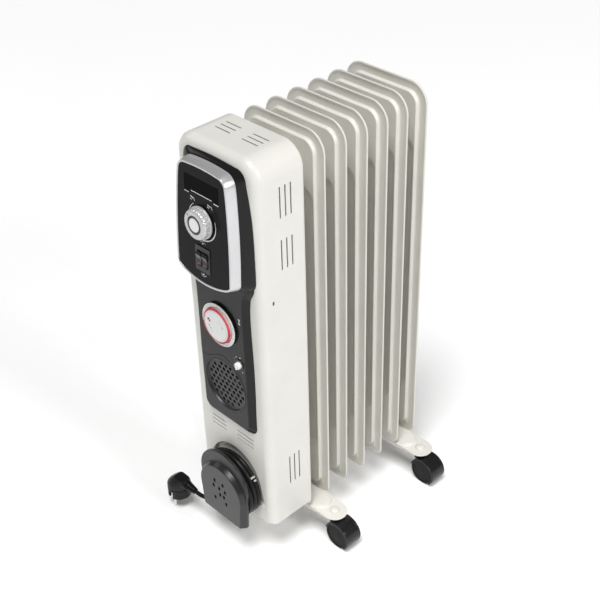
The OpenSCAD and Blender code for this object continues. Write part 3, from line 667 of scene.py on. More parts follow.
piece("housing_recess", recess_part(), CREAM, smooth=40)


# ---- Control panel: glossy pod, silver bezel, face plate and lower fascia ----

FACE_AT_Y, FACE_AT_Z = -158.4, 540.0
LEAN = math.radians(3)
BEZEL_D = 14.3
FASCIA_Y = -141.9
PLATE_Y = 0.6


def on_face(p):
    """From the leaning face's own frame, where -Y points out of it, to the model's frame."""
    x, y, z = p
    return (x, FACE_AT_Y + y * math.cos(LEAN) + z * math.sin(LEAN),
            FACE_AT_Z - y * math.sin(LEAN) + z * math.cos(LEAN))


def both_sides(right):
    return list(right) + [(-x, z) for x, z in reversed(right[1:-1])]


def face_half_w(v):
    return 47.2 - 6.2 * ((v + 52) / 112) ** 2


def face_right(g):
    foot = [math.radians(a) for a in (20, 17.5, 15, 12.5, 10, 7.5, 5, 2.5, 0)]
    return ([(x, 72 + g - x * x / 530) for x in (0, 5, 10, 15, 20, 25, 29)]
            + arc(29.5, 59, 11.3 + g, 80, 5, 14)
            + [(face_half_w(v) + g, v) for v in range(52, -60, -6)]
            + arc(41.2, -67, 6 + g, -4, -68, 10)
            + [((112 + g) * math.sin(a), 30 - (112 + g) * math.cos(a)) for a in foot])


def face_outline(g):
    return both_sides(face_right(g))


def resampled(right, n=120):
    """Right half of an outline with n + 1 points at even distances, then closed on the left."""
    p = np.array(right, float)
    d = np.concatenate(([0], np.cumsum(np.linalg.norm(np.diff(p, axis=0), axis=1))))
    at = np.linspace(0, d[-1], n + 1)
    return both_sides([(float(np.interp(t, d, p[:, 0])), float(np.interp(t, d, p[:, 1]))) for t in at])


def pod_rear(g):
    side = [(62.9, 557), (63.7, 542), (64.1, 525), (64.2, 505), (64.2, 488), (63.9, 474)]
    return ([(x, 622 + g - x * x / 900) for x in (0, 10, 20, 30, 38)]
            + arc(41.5, 606.5, 14.2 + g, 82, 10, 12)
            + [(57.0 + g, 598), (59.6 + g, 584), (61.6 + g, 570)] + [(x + g, z) for x, z in side]
            + arc(46.2, 472, 17.6 + g, -5, -62, 10)
            + [(40, 451.6 - g), (20, 449 - g), (0, 448 - g)])


def pod_ring(t, g, s):
    """Ring of the pod: t blends its outline from back to front, grown by g, and s is how far
    forward it lies."""
    rear = resampled(pod_rear(g))
    front = [on_face((x, BEZEL_D, z)) for x, z in resampled(face_right(6 + g))]
    return [(a[0] * (1 - t) + b[0] * t, HOUSE_Y0 + (b[1] - HOUSE_Y0) * s, a[1] * (1 - t) + b[2] * t)
            for a, b in zip(rear, front)]


def pod():
    outer = [(0, -0.2, -0.03), (0, 0, 0), (0.1, 0.5, 0.12), (0.25, 0.95, 0.26), (0.42, 1.15, 0.44),
             (0.60, 1.1, 0.62),
             (0.77, 0.85, 0.78), (0.90, 0.5, 0.9), (0.97, 0.15, 0.97), (1, -0.35, 1.01), (1, -1.2, 1.02),
             (1, -6, 1.02)]
    inner = [(1, -6, 0.82), (0.9, -2.4, 0.77), (0.5, -2.4, 0.42), (0, -2.5, 0.08), (0, -2.5, -0.03)]
    return closed_loft([pod_ring(*s) for s in outer + inner], wrap=True)


FASCIA_REAR = [(60.5, 474), (60.3, 466), (59.6, 457), (57.0, 450.5), (54.0, 446), (52.4, 441.5),
               (51.2, 434), (50.2, 424),
               (49.8, 412), (49.9, 400), (50.1, 389), (50.6, 373), (51.1, 358), (51.5, 342), (51.7, 327),
               (51.7, 306),
               (51.4, 285), (50.9, 270), (50.5, 260), (50.4, 248)]
FASCIA_FRONT = [(57.0, 472), (56.2, 466), (54.0, 460), (51.0, 453.5), (48.0, 448), (46.0, 442), (44.9, 434),
                (44.2, 424),
                (44.0, 412), (44.0, 400), (44.0, 389), (44.1, 373), (44.3, 358), (44.5, 342), (44.6, 327),
                (44.5, 306),
                (44.3, 285), (44.1, 270), (44.0, 260), (44.0, 250)]


def fascia_half(table, z0, r, g):
    edge = table[-1][0]
    return ([(0, table[0][1] + g), (table[0][0] / 2, table[0][1] + g)] + [(x + g, z) for x, z in table]
            + arc(edge - r, z0 + r, r + g, 0, -90, 10)[1:] + [((edge - r) / 2, z0 - g), (0, z0 - g)])


def fascia_ring(t, g, y):
    rear = both_sides(fascia_half(FASCIA_REAR, 219, 14, g))
    front = both_sides(fascia_half(FASCIA_FRONT, 228, 12, g))
    return [(a[0] * (1 - t) + b[0] * t, y, a[1] * (1 - t) + b[1] * t) for a, b in zip(rear, front)]


PARTING = [(-46, 317), (-42, 318.5), (-36, 318.6), (-31, 319.6), (-24, 323), (-17, 327.6), (-10, 331),
           (-4, 333.2), (0, 334),
           (6, 332.8), (13, 330), (20, 326.5), (26, 322.5), (31, 316.5), (35.5, 309), (39, 300.5),
           (41.5, 292), (45.5, 280)]


def fascia():
    outer = [(0, 0, -133.6), (0, 0, -134.0), (0.16, 0.25, -135.4), (0.42, 0.35, -137.6), (0.66, 0.3, -139.3),
             (0.84, 0.1, -140.5), (0.93, 0.0, -141.1), (1, -0.35, -141.55), (1, -1.1, -141.83),
             (1, -2.6, FASCIA_Y)]
    inner = [(1, -2.6, -139.4), (0.5, -2.5, -137.0), (0, -2.5, -134.6), (0, -2.5, -133.6)]
    return ring_shell([fascia_ring(*s) for s in outer], [fascia_ring(*s) for s in inner])


def disc_tool(x, z, r, n=96):
    """Round cutter that goes right through the fascia."""
    angles = [2 * math.pi * k / n for k in range(n)]
    return prism([(x + r * math.cos(a), z + r * math.sin(a)) for a in angles], -144, -132)


groove = tube([(x, FASCIA_Y - 0.05, z) for x, z in PARTING], 0.55, 8)
piece("pod_shell", pod(), FASCIA, stands_for=("panel_body",), smooth=50)
piece("fascia_shell", fascia(), FASCIA, smooth=40,
      cuts=(join(disc_tool(0, TIMER_Z, 24), disc_tool(SELECT_X, SELECT_Z, 4), disc_tool(0, GRILLE_Z, 40.3)),
            groove))


def bezel_mesh():
    """A silver ring: inner ledge, flat front lip with soft edges, and a side wall that flares to the pod."""
    front = lambda g, y: [on_face((x, y, z)) for x, z in face_outline(g)]
    rear = lambda g: [on_face((x, BEZEL_D, z)) for x, z in face_outline(g)]
    blend = lambda t, extra: [tuple(a[j] * (1 - t) + b[j] * t for j in range(3))
                              for a, b in zip(front(3.1 + extra, 1.2), rear(6 + extra))]
    rings = [front(-2.5, 5), front(-2.5, 3.6), front(0.3, 3.6), front(0.3, 0.55), front(0.42, 0.25),
             front(0.7, 0.08),
             front(1.2, 0), front(2.2, 0.02), front(2.65, 0.12), front(2.95, 0.4), front(3.05, 0.8)]
    rings += [blend(0, 0), blend(0.25, 0.25), blend(0.5, 0.35), blend(0.75, 0.25), blend(0.93, 0.05),
              blend(0.98, -0.15),
              blend(1.0, -0.5), rear(2)]
    return closed_loft(rings, wrap=True)


piece("bezel_ring", bezel_mesh(), SILVER, stands_for=("bezel",), smooth=50)


def plate_mesh():
    rings = [(0, 3.6), (0.1, 1.6), (0.1, 0.95), (0.0, 0.75), (-0.2, 0.64), (-0.5, PLATE_Y)]
    return closed_loft([[on_face((x, y, z)) for x, z in face_outline(g)] for g, y in rings])


def face_prism(outline, y0, y1):
    return moved(prism(outline, y0, y1), on_face)


def rounded(x0, x1, z0, z1, r, n=5):
    return (arc(x1 - r, z1 - r, r, 90, 0, n) + arc(x1 - r, z0 + r, r, 0, -90, n)
            + arc(x0 + r, z0 + r, r, -90, -180, n) + arc(x0 + r, z1 - r, r, 180, 90, n))


def window_outline(g):
    """Display window with a raised middle to its lower edge."""
    half, top, low, mid, step = 31 + g, 58 + g, 35.8 - g, 39.6 - g, 21 + g
    return ([(x, top) for x in (-half + 1, half - 1)] + [(half, top - 1), (half, low + 1), (half - 1, low)]
            + [(step + 0.8, low), (step - 0.6, mid), (-step + 0.6, mid), (-step - 0.8, low)]
            + [(-half + 1, low), (-half, low + 1), (-half, top - 1)])


shaft_hole = face_prism(arc(0, 3, 6, 0, 351, 39), -2, 8)
rocker_hole = face_prism([(-13, -65.5), (12, -65.5), (12, -32.5), (-13, -32.5)], -2, 8)
piece("face_panel", plate_mesh(), FACE, stands_for=("face_plate",), smooth=40,
      cuts=(join(shaft_hole, rocker_hole, face_prism(window_outline(0.15), -2, 2.1)),))


def window_mesh():
    rings = [(0.1, 2.05), (0.1, 1.0), (-0.05, 0.85), (-0.3, 0.8)]
    return closed_loft([[on_face((x, y, z)) for x, z in window_outline(g)] for g, y in rings])


piece("display_glass", window_mesh(), WINDOW, stands_for=("display_window",), smooth=30)


def band(points, width, y0, y1, place):
    """A printed line of given widths along (x, z) points, as a thin closed solid."""
    p = np.array(points, float)
    d = np.gradient(p, axis=0)
    d /= np.linalg.norm(d, axis=1)[:, None]
    side = np.stack((-d[:, 1], d[:, 0]), axis=1)
    w = np.interp(np.linspace(0, 1, len(p)), np.linspace(0, 1, len(width)), width) / 2
    left, right = p + side * w[:, None], p - side * w[:, None]
    return moved(prism([tuple(q) for q in left] + [tuple(q) for q in right[::-1]], y0, y1), place)


def arc_band(cx, cz, r, a0, a1, width, y0, y1, place, n=40):
    return band(arc(cx, cz, r, a0, a1, n), width, y0, y1, place)


def face_marks():
    ink = (PLATE_Y - 0.06, PLATE_Y + 0.3)
    line = lambda pts, w: band(pts, w, *ink, on_face)
    out = [line([(-31, 34.4), (-23, 34.2)], (0.9, 0.9)),
           line([(-18.5, 38.0), (0, 38.0), (18.5, 37.8)], (0.9, 0.9, 0.9)),
           line([(22, 35.4), (30.5, 35.2)], (0.9, 0.9)),
           arc_band(0, 3, 24.6, 128, 380, (0.7, 1.2, 1.5, 1.7, 1.2, 0.6), *ink, on_face, 60),
           line([(-20.5, 30.6), (-15.2, 28.8)], (1.3, 1.3)),
           line([(-14.6, 30.2), (-12.6, 26.2)], (0.8, 0.8)),
           line([(-21.4, 26.6), (-17.8, 26.2)], (0.7, 0.7)),
           line([(10.5, 30.2), (16.5, 28.6)], (1.0, 1.0)), line([(10.2, 27.4), (13.6, 26.2)], (1.4, 0.9)),
           line([(17.2, 30.0), (19.2, 26.0)], (0.8, 0.8))]
    for z, turn in ((-26.9, 0), (-70.1, 180)):
        out += [arc_band(-0.5, z - (2 if turn == 0 else -2), 5.2, 25 + turn, 155 + turn, (0.5, 0.5), *ink,
                         on_face, 16),
                line([(-2.2, z), (0.8, z - 0.4)], (1.4, 1.4))]
    return join(*out)


piece("face_prints", face_marks(), INK_WHITE, smooth=20, weighted=False)
piece("bezel_dot", moved(revolve([(0.2, 0.55), (0.45, 0.5), (0.55, 0.3)], (0, 0, 0), "x", 16),
                         lambda p: (50.9 + p[0], -150.2 + p[1], 487 + p[2])), INK_GREY, smooth=30,
      weighted=False)


def fascia_marks():
    ink = (FASCIA_Y - 0.06, FASCIA_Y + 0.3)
    flat = lambda p: p
    line = lambda pts, w: band(pts, w, *ink, flat)
    out = [line([(35.0, 409.6), (38.8, 409.6)], (0.8, 0.8)), line([(35.4, 409), (36.9, 405.9)], (0.8, 0.7)),
           line([(38.4, 409), (36.9, 405.9)], (0.8, 0.7)), line([(36.9, 405.9), (35.2, 402.4)], (0.7, 0.8)),
           line([(36.9, 405.9), (38.8, 402.4)], (0.7, 0.8)),
           line([(35.0, 402.2), (38.8, 402.2)], (0.8, 0.8))]
    for a, r, w in ((150, 11.2, 0.8), (118, 11.6, 1.3), (82, 11.4, 1.5), (-62, 11.2, 1.4)):
        x, z = SELECT_X + r * math.cos(math.radians(a)), SELECT_Z + r * math.sin(math.radians(a))
        out.append(line([(x - w / 2, z), (x + w / 2, z)], (w, w)))
    return join(*out)


piece("fascia_prints", fascia_marks(), INK_WHITE, smooth=20, weighted=False)

# ---- Controls on the pod ----

KNOB_Z = 3


def face_revolve(profile, sides, wave=None):
    """Turns (distance in front of the face plate, radius) pairs round the knob's axis."""
    return moved(revolve([(-d, r) for d, r in profile], (0, 0, KNOB_Z), "y", sides, wave), on_face)


def knob_mesh():
    """Base ring, fluted grip with a rounded shoulder, and a flat front with a groove round the centre."""
    profile = [(1.0, 20.4), (1.2, 20.9), (1.7, 21.0), (2.9, 21.0), (3.3, 20.8), (3.5, 20.2), (3.6, 19.7)]
    first = len(profile)
    profile += [(4.2, 19.5), (6, 19.45), (8, 19.4), (9.6, 19.3), (10.4, 19.1), (11.2, 18.6), (11.8, 17.9)]
    last = len(profile)
    profile += [(12.25, 16.9), (12.45, 15.8), (12.5, 14), (12.5, 12.8), (12.42, 12.4), (12.2, 12.2),
                (11.0, 12.15),
                (10.9, 9.0)]
    depth = {k: (1.15 if k < last - 3 else 0.7) for k in range(first, last)}
    groove = lambda a: 0.35 - (0.5 + 0.5 * math.cos(24 * a)) ** 6
    return face_revolve(profile, 360, lambda a, k: depth.get(k, 0) * groove(a))


piece("thermostat_knob_grip", knob_mesh(), KNOB, "thermostat_dial", ("thermostat_knob",),
      smooth=42,
      weighted=False)
piece("knob_groove",
      face_revolve([(10.85, 12.18), (12.15, 12.15), (12.3, 12.0), (12.3, 8.8), (10.85, 8.8)], 96), BLACK,
      "thermostat_dial", smooth=30, weighted=False)
piece("knob_centre",
      face_revolve([(10.9, 9.0), (12.3, 9.0), (12.45, 8.85), (12.5, 8.5), (12.52, 7), (12.55, 3),
                    (12.55, 0.4)],
                                  96), CAP, "thermostat_dial", ("knob_cap",), smooth=40,
      weighted=False)
piece("knob_pointer",
      band([(-10.2, KNOB_Z + 9.6), (-12.2, KNOB_Z + 11.5)], (1.0, 1.0), -12.62, -12.2, on_face), BLACK,
      "thermostat_dial", smooth=20, weighted=False)

PIVOT_Y, ROCKER_Z, ROCKER_X, ROCKER_W, ROCKER_LEAN = 3, -49, 5.4, 9, math.radians(7)


def on_rocker(x0):
    c, s = math.cos(ROCKER_LEAN), math.sin(ROCKER_LEAN)

    def place(p):
        x, y, z = p[0], p[1] - PIVOT_Y, p[2]
        return on_face((x0 + x, PIVOT_Y + y * c - z * s, ROCKER_Z + y * s + z * c))
    return place


def rocker_parts(x0):
    upper = [(-0.6, 10), (-1.1, 9.6), (-2.9, 7.95), (-3.25, 7.6), (-3.38, 7.2), (-3.3, 6.8), (-1.9, 2),
             (-1.55, 0.9)]
    front = upper + [(-1.42, 0)] + [(y, -z) for y, z in reversed(upper)]
    profile = front + [(4.5, -7.5), (6.5, 0), (4.5, 7.5)]
    half = ROCKER_W / 2
    widths = [(-half, 0.35), (-half + 0.12, 0.12), (-half + 0.4, 0), (half - 0.4, 0), (half - 0.12, 0.12),
              (half, 0.35)]
    rings = [[(x, y * (1 - g * 0.02) + (g if y < 0 else -g), z * (1 - g * 0.05)) for y, z in profile] for x,
             g in widths]
    body = moved(closed_loft(rings), on_rocker(x0))
    slope, lamp_z = 0.27, -5.6
    lamp_ring = lambda g, y: [(1.7 * math.cos(a) * g, y + slope * 1.4 * math.sin(a) * g, lamp_z
                               + 1.4 * math.sin(a) * g)
                              for a in (2 * math.pi * k / 28 for k in range(28))]
    lamp = moved(closed_loft([lamp_ring(g, y) for g,
                              y in ((1, -2.2), (1, -3.0), (0.9, -3.15), (0.7, -3.25), (0.35, -3.3))]),
                 on_rocker(x0))
    return body, lamp


for side, body in ((-1, "left_rocker"), (1, "right_rocker")):
    shape, lamp = rocker_parts(side * ROCKER_X - 0.5)
    piece(body + "_cap", shape, ROCKER, body,
          ("rocker_left" if side < 0 else "rocker_right",), smooth=30)
    piece(body + "_lamp", lamp, LAMP, body, smooth=50, weighted=False)


def rocker_frame_mesh():
    plate = closed_loft([[(x, y, z) for x, z in rounded(-14 + g, 13 - g, -66.5 + g, -31.5 - g, 1.6)]
                         for g, y in ((0, 0.55), (0, -0.25), (0.12, -0.48), (0.4, -0.6))])
    return moved(plate, on_face), moved(box(-12.7, 11.7, 0.5, 20, -65.2, -32.8), on_face)


well = [moved(box(-0.5 + s * ROCKER_X - 4.8, -0.5 + s * ROCKER_X + 4.8, -3, 11, ROCKER_Z - 11, ROCKER_Z
                  + 11), on_face)
        for s in (-1, 1)]
plate_part, well_part = rocker_frame_mesh()
piece("rocker_bezel", plate_part, FRAME, stands_for=("rocker_frame",), smooth=30,
      cuts=(join(*well),))
piece("rocker_well", well_part, BLACK, smooth=30, cuts=(join(*well),))

# ---- Timer, selector and fan grille on the fascia ----


def out_revolve(profile, x, z, sides):
    """Turns (distance in front of the fascia, radius) pairs round a horizontal axis."""
    return revolve([(FASCIA_Y - d, r) for d, r in profile], (x, 0, z), "y", sides)


def ring_revolve(profile, x, z, sides):
    """Like out_revolve, but for a ring: the profile closes on itself."""
    rings = [[(x + r * math.cos(2 * math.pi * i / sides), FASCIA_Y - d, z
               + r * math.sin(2 * math.pi * i / sides))
              for i in range(sides)] for d, r in profile]
    return closed_loft(rings, wrap=True)


piece("timer_plinth", ring_revolve([(0, 30.7), (3.1, 30.7), (3.1, 25.6), (0, 25.6)], 0, TIMER_Z, 128),
      FASCIA,
      smooth=40)
piece("timer_rim",
      ring_revolve([(3.1, 30.9), (3.25, 31.0), (3.75, 31.0), (3.95, 30.8), (4.0, 30.4), (4.0, 26.2),
                    (3.85, 25.7),
                                 (3.5, 25.5), (3.1, 25.5)], 0, TIMER_Z, 128),
      WHITE, stands_for=("timer_ring",), smooth=40)
piece("timer_disc",
      out_revolve([(3.4, 24.6), (6.9, 24.6), (7.0, 22.6), (7.9, 22.5), (8.1, 22.2), (8.15, 21.6),
                   (8.15, 8.4),
                                 (7.85, 7.9), (7.85, 1)], 0, TIMER_Z, 128),
      WHITE, "timer_dial", ("timer_dial",), smooth=35)


def tappets():
    out = []
    for k in range(96):
        a0, a1 = (math.radians(3.75 * k + d) for d in (0.45, 3.3))
        high = 8.2 if k > 47 and 0 < k % 24 < 11 else 7.7
        quad = lambda r0, r1: [(r * math.cos(a), TIMER_Z + r * math.sin(a)) for r,
                               a in ((r0, a0), (r1, a0), (r1, a1), (r0, a1))]
        low, top = quad(22.65, 24.9), quad(22.9, 24.5)
        out.append(closed_loft([[(x, FASCIA_Y - 5, z) for x, z in low],
                                [(x, FASCIA_Y - high + 0.4, z) for x, z in low],
                                [(x, FASCIA_Y - high, z) for x, z in top]]))
    return join(*out)


piece("timer_tappets", tappets(), RED, "timer_dial", smooth=20, weighted=False)


def timer_marks():
    ink = (FASCIA_Y - 8.2, FASCIA_Y - 7.9)
    at = lambda p: (p[0], p[1], p[2] + TIMER_Z)
    out = [arc_band(0, 0, 13.5, 62, 12, (0.35, 0.35), *ink, at, 14),
           arc_band(0, 0, 13.5, 242, 192, (0.35, 0.35), *ink, at, 14)]
    for a in (12, 192):
        tip = [(13.5 * math.cos(math.radians(b)), 13.5 * math.sin(math.radians(b))) for b in (a + 5, a - 4)]
        out.append(band(tip, (1.9, 0.15), *ink, at))
    for k in range(48):
        a = math.radians(7.5 * k)
        r0 = 20.4 if k % 2 else 19.6
        out.append(band([(r0 * math.cos(a), r0 * math.sin(a)), (21.7 * math.cos(a), 21.7 * math.sin(a))],
                        (0.28, 0.28), *ink, at))
    out.append(band([(0, 0), (3.2, 0.0)], (0.3, 0.3), *ink, lambda p: (p[0] - 11, p[1], p[2] + TIMER_Z - 7)))
    return join(*out)


piece("timer_prints", timer_marks(), INK_GREY, "timer_dial", smooth=20, weighted=False)
half_moon = arc(0, 0, 2.6, 60, 240, 16)
piece("timer_day_mark",
      moved(prism(half_moon, FASCIA_Y - 8.2, FASCIA_Y - 7.9),
            lambda p: (p[0] - 13, p[1], p[2] + TIMER_Z + 5)),
      BLACK, "timer_dial", smooth=20, weighted=False)
piece("timer_night_mark", moved(prism(arc(0, 0, 2.6, 240, 420, 16), FASCIA_Y - 8.19, FASCIA_Y - 7.9),
                                lambda p: (p[0] - 12.6, p[1], p[2] + TIMER_Z + 4.2)),
      RED, "timer_dial", smooth=20, weighted=False)


def ring_marks():
    at = lambda p: (p[0], p[1], p[2] + TIMER_Z)
    out = []
    for k in range(24):
        a = math.radians(15 * k)
        r0, w = (27.6, 0.55) if k % 6 == 0 else (28.2, 0.3)
        out.append(band([(r0 * math.cos(a), r0 * math.sin(a)), (29.4 * math.cos(a), 29.4 * math.sin(a))],
                        (w, w),
                        FASCIA_Y - 4.05, FASCIA_Y - 3.8, at))
    return join(*out)


piece("timer_rim_prints", ring_marks(), INK_GREY, smooth=20, weighted=False)


def selector_parts():
    knob = out_revolve([(0.3, 4.7), (0.6, 5.0), (4.6, 4.9), (5.5, 4.6), (5.9, 4.0), (6.0, 3.2), (6.0, 0.5)],
                       SELECT_X, SELECT_Z, 64)
    ridge_rings = []
    for y, g in ((5.2, 0.0), (6.5, 0.0), (6.85, 0.15), (7.0, 0.5)):
        ridge_rings.append([(SELECT_X + x, FASCIA_Y - y, SELECT_Z + z)
                            for x, z in rounded(-1.25 + g, 1.25 - g, -4.6 + g, 4.6 - g, 0.7)])
    return knob, closed_loft(ridge_rings)


piece("selector_button", join(*selector_parts()), WHITE, "function_selector",
      ("selector_knob",), smooth=40,
      weighted=False)
collar = ring_revolve([(0, 8.0), (0.7, 8.0), (1.1, 7.7), (1.2, 7.2), (1.1, 5.8), (0.7, 5.4), (0, 5.4)],
                      SELECT_X, SELECT_Z, 64)
switch_box = box(SELECT_X - 8, SELECT_X + 8, FASCIA_Y + 3, FASCIA_Y + 16, SELECT_Z - 8, SELECT_Z + 8)
piece("selector_collar", join(collar, switch_box), BLACK, stands_for=("selector_switch",),
      smooth=40)


def grille_mesh():
    """Dished disc that steps in from the fascia."""
    profile = [(-5, 40), (0.1, 40), (0.35, 39.8), (0.42, 39.4), (0.3, 39.0), (-0.1, 38.6), (-2.0, 37.8),
               (-2.7, 37.4),
               (-3.0, 36.9), (-3.1, 36.0), (-3.1, 30), (-3.1, 1)]
    return out_revolve(profile, 0, GRILLE_Z, 128)


def grille_holes():
    out, pitch, hole_r = [], 8.7, 2.85
    corners = [math.radians(60 * k + 30 + 12 * s) for k in range(6) for s in (-1, 1)]
    for j in range(-4, 5):
        for i in range(-4, 5):
            x, z = (i + (abs(j) % 2) / 2) * pitch, j * pitch * 0.866
            if math.hypot(x, z) < 33.5:
                outline = [(x + hole_r * math.cos(a), GRILLE_Z + z + hole_r * math.sin(a)) for a in corners]
                out.append(prism(outline, FASCIA_Y + 1, FASCIA_Y + 7))
    return join(*out)


piece("fan_grille_dish", grille_mesh(), GRILLE, stands_for=("fan_grille",), smooth=40,
      cuts=(grille_holes(),))

# ---- Cord winder ----


def arch(hw, foot, z_mid, g, low):
    """Arch outline grown by g, with small corners at its foot, which is raised by low."""
    hw, foot, z0 = hw + g, foot + g, 60 + low
    right = arc(0, z_mid, hw, 90, 0, 30)
    right += [(hw + (foot - hw) * t, z_mid + (z0 + 2 - z_mid) * t) for t in (0.25, 0.5, 0.75, 1)]
    right += [(foot - 0.5, z0 + 0.6), (foot - 2, z0), (foot / 2, z0), (0, z0)]
    return right + [(-x, z) for x, z in reversed(right[1:-1])]


def arch_solid(table):
    return closed_loft([[(x, y, z) for x, z in arch(*shape, g, low)] for shape, g, low, y in table])


FLANGE, BOSS_BACK, BOSS_FRONT = (48, 44, 124), (46, 43.5, 106.5), (42, 38, 106.5)
flange = arch_solid([(FLANGE, -0.5, 0.4, -154.0), (FLANGE, -0.12, 0.1, -154.15), (FLANGE, 0, 0, -154.6),
                     (FLANGE, 0, 0, -157.7),
                     (FLANGE, -0.15, 0.15, -158.2), (FLANGE, -0.5, 0.5, -158.42),
                     (FLANGE, -1.1, 1.0, -158.5)])
boss = arch_solid([(BOSS_BACK, 0, 0.1, -158.0), (BOSS_BACK, 0, 0.1, -158.6), (BOSS_BACK, -0.2, 0.1, -158.95),
                   (BOSS_FRONT, 0.65, 0.1, -164.6), (BOSS_FRONT, 0.2, 0.25, -165.1),
                   (BOSS_FRONT, -0.35, 0.7, -165.4),
                   (BOSS_FRONT, -1.0, 1.3, -165.5)])
HOLES = ((122, (-11, 6)), (111, (-14, -2, 10)), (100, (-1, 7)), (89, (-12, 11)))
hole_tools = [moved(closed_loft([[(x, y, z) for x, z in rounded(-2 - g, 2 + g, -3.2 - g, 3.2 + g, 1.2)]
                                 for y, g in ((-166.5, 0.1), (-164.7, 0.0), (-161.5, -0.1))]),
                    lambda p, cx=x, cz=z: (p[0] + cx, p[1], p[2] + cz)) for z, row in HOLES for x in row]
posts = [revolve([(-154.2, 5), (-127.9, 5)],
                 (30 * math.cos(math.radians(a)), 0, COIL_Z + 30 * math.sin(math.radians(a))),
                 "y", 32) for a in (90, 210, 330)]
piece("winder_flange", join(flange, *posts), WINDER, stands_for=("winder",), smooth=32)
piece("winder_front", boss, WINDER_GLOSS, smooth=26, cuts=(join(*hole_tools),))


def cord_clip():
    """Small clear clip that holds the outer turn at the side of the winding."""
    out = []
    for a, y0, y1 in ((37, -143.5, -136.2), (31, -140.5, -136.2)):
        c, s = math.cos(math.radians(a)), math.sin(math.radians(a))
        ring = lambda r, y, w: [(r * c - k * w * s, y, COIL_Z + r * s + k * w * c) for k in (-1, 1)]
        section = lambda y, g: [ring(51.6, y, 1.6 + g)[0], ring(53.1 + g, y, 1.2 + g)[0],
                                ring(53.1 + g, y, 1.2 + g)[1],
                                ring(51.6, y, 1.6 + g)[1]]
        out.append(closed_loft([section(y0, -0.5), section(y0 + 0.4, 0), section(y1 - 0.4, 0),
                                section(y1, -0.5)]))
    return join(*out)


piece("cord_clip", cord_clip(), TIE, smooth=30, bevel=0.25)

# ---- Brackets and casters ----

BRACKET_Y = (-40.4, 145.6)
STEM_X, TRAIL, AXLE_Z = 101, 16, 20.5


def stadium(cx, r, z, n=24):
    ring = arc(cx, 0, r, -90, 90, n) + [(cx * k / 6, r) for k in range(5, -6, -1)]
    ring += arc(-cx, 0, r, 90, 270, n) + [(cx * k / 6, -r) for k in range(-5, 6)]
    return [(x, y, z) for x, y in ring]


def bracket_mesh(y):
    """Pressed plate with a raised middle, rounded ends and tapered hems along its sides."""
    section = [(101, 17.2, 50.0), (101, 18.1, 50.15), (101, 18.5, 50.7), (101, 18.5, 51.3),
               (101, 18.2, 51.8), (101, 17.6, 52.0),
               (88, 16.2, 52.0), (77, 15.4, 52.05), (75.6, 14.8, 52.25), (75.1, 14.2, 52.7),
               (75, 13.5, 53.8), (75, 13.05, 54.5),
               (75, 12.4, 54.88), (75, 11.4, 55.0), (75, 6, 55.0)]
    plate = closed_loft([stadium(*s) for s in section])
    hem = lambda y0, y1: closed_loft([[(x, hy, z) for x,
                                       z in ((-60, 44.5 + g), (60, 44.5 + g), (86, 47.6 + g), (98, 49.4),
                                                               (98, 51.2), (-98, 51.2), (-98, 49.4),
                                             (-86, 47.6 + g))]
                                      for hy, g in ((y0, 0.3), (y0 + 0.3, 0), (y1 - 0.3, 0), (y1, 0.3))])
    part = join(plate, hem(-18.5, -17.0), hem(17.0, 18.5))
    return moved(part, lambda p: (p[0], p[1] + y, p[2]))


def cap_meshes():
    out = []
    for y in BRACKET_Y:
        for s in (-1, 1):
            profile = [(52.0, 7.4), (52.35, 7.4), (52.6, 7.1), (53.3, 6.9), (54.2, 6.3), (54.9, 5.2),
                       (55.35, 3.8), (55.55, 2.2),
                       (55.6, 0.6)]
            out.append(revolve(profile, (s * STEM_X, y, 0), "z", 48))
    return join(*out)


for k, name in enumerate(("front", "rear")):
    piece("bracket_plate_" + name, bracket_mesh(BRACKET_Y[k]), BRACKET_CREAM,
          stands_for=("bracket_" + name,), smooth=34)
piece("stem_caps", cap_meshes(), BRACKET_CREAM, stands_for=("caster_caps",), smooth=50,
      weighted=False)


def swept_hood():
    section = [(20.0, -14.0), (21.9, -14.0), (22.3, -13.75), (22.5, -13.2), (22.5, -12.2), (22.25, -11.8),
               (22.25, -11.2),
               (22.5, -10.8), (22.5, 0), (22.5, 10.8), (22.25, 11.2), (22.25, 11.8), (22.5, 12.2),
               (22.5, 13.2), (22.3, 13.75),
               (21.9, 14.0), (20.0, 14.0), (20.0, 13.75), (21.15, 13.7), (21.15, -13.7), (20.0, -13.75)]
    rings = []
    for k in range(53):
        a = math.radians(-50 + 216 * k / 52)
        rings.append([(TRAIL + r * math.cos(a), y, AXLE_Z + r * math.sin(a)) for r, y in section])
    return closed_loft(rings)


def fork_mesh():
    web = arc(TRAIL, AXLE_Z, 21.6, -38, 164, 48) + [(TRAIL - 10, AXLE_Z + 2.6), (TRAIL - 4, AXLE_Z - 3),
                                                    (TRAIL, AXLE_Z - 6)]
    collar = revolve([(34.3, 6.0), (34.3, 7.6), (35.2, 8.2), (37.5, 7.9), (40, 7.4), (43, 7.05),
                      (48.6, 7.0), (49.3, 6.8),
                      (49.6, 6.3), (49.6, 5.0), (51.7, 5.0)], (0, 0, 0), "z", 48)
    hub = revolve([(-1.6, 6.5), (1.6, 6.5)], (TRAIL, 0, AXLE_Z), "y", 40)
    return join(swept_hood(), prism(web, -1.6, 1.6), collar, hub)


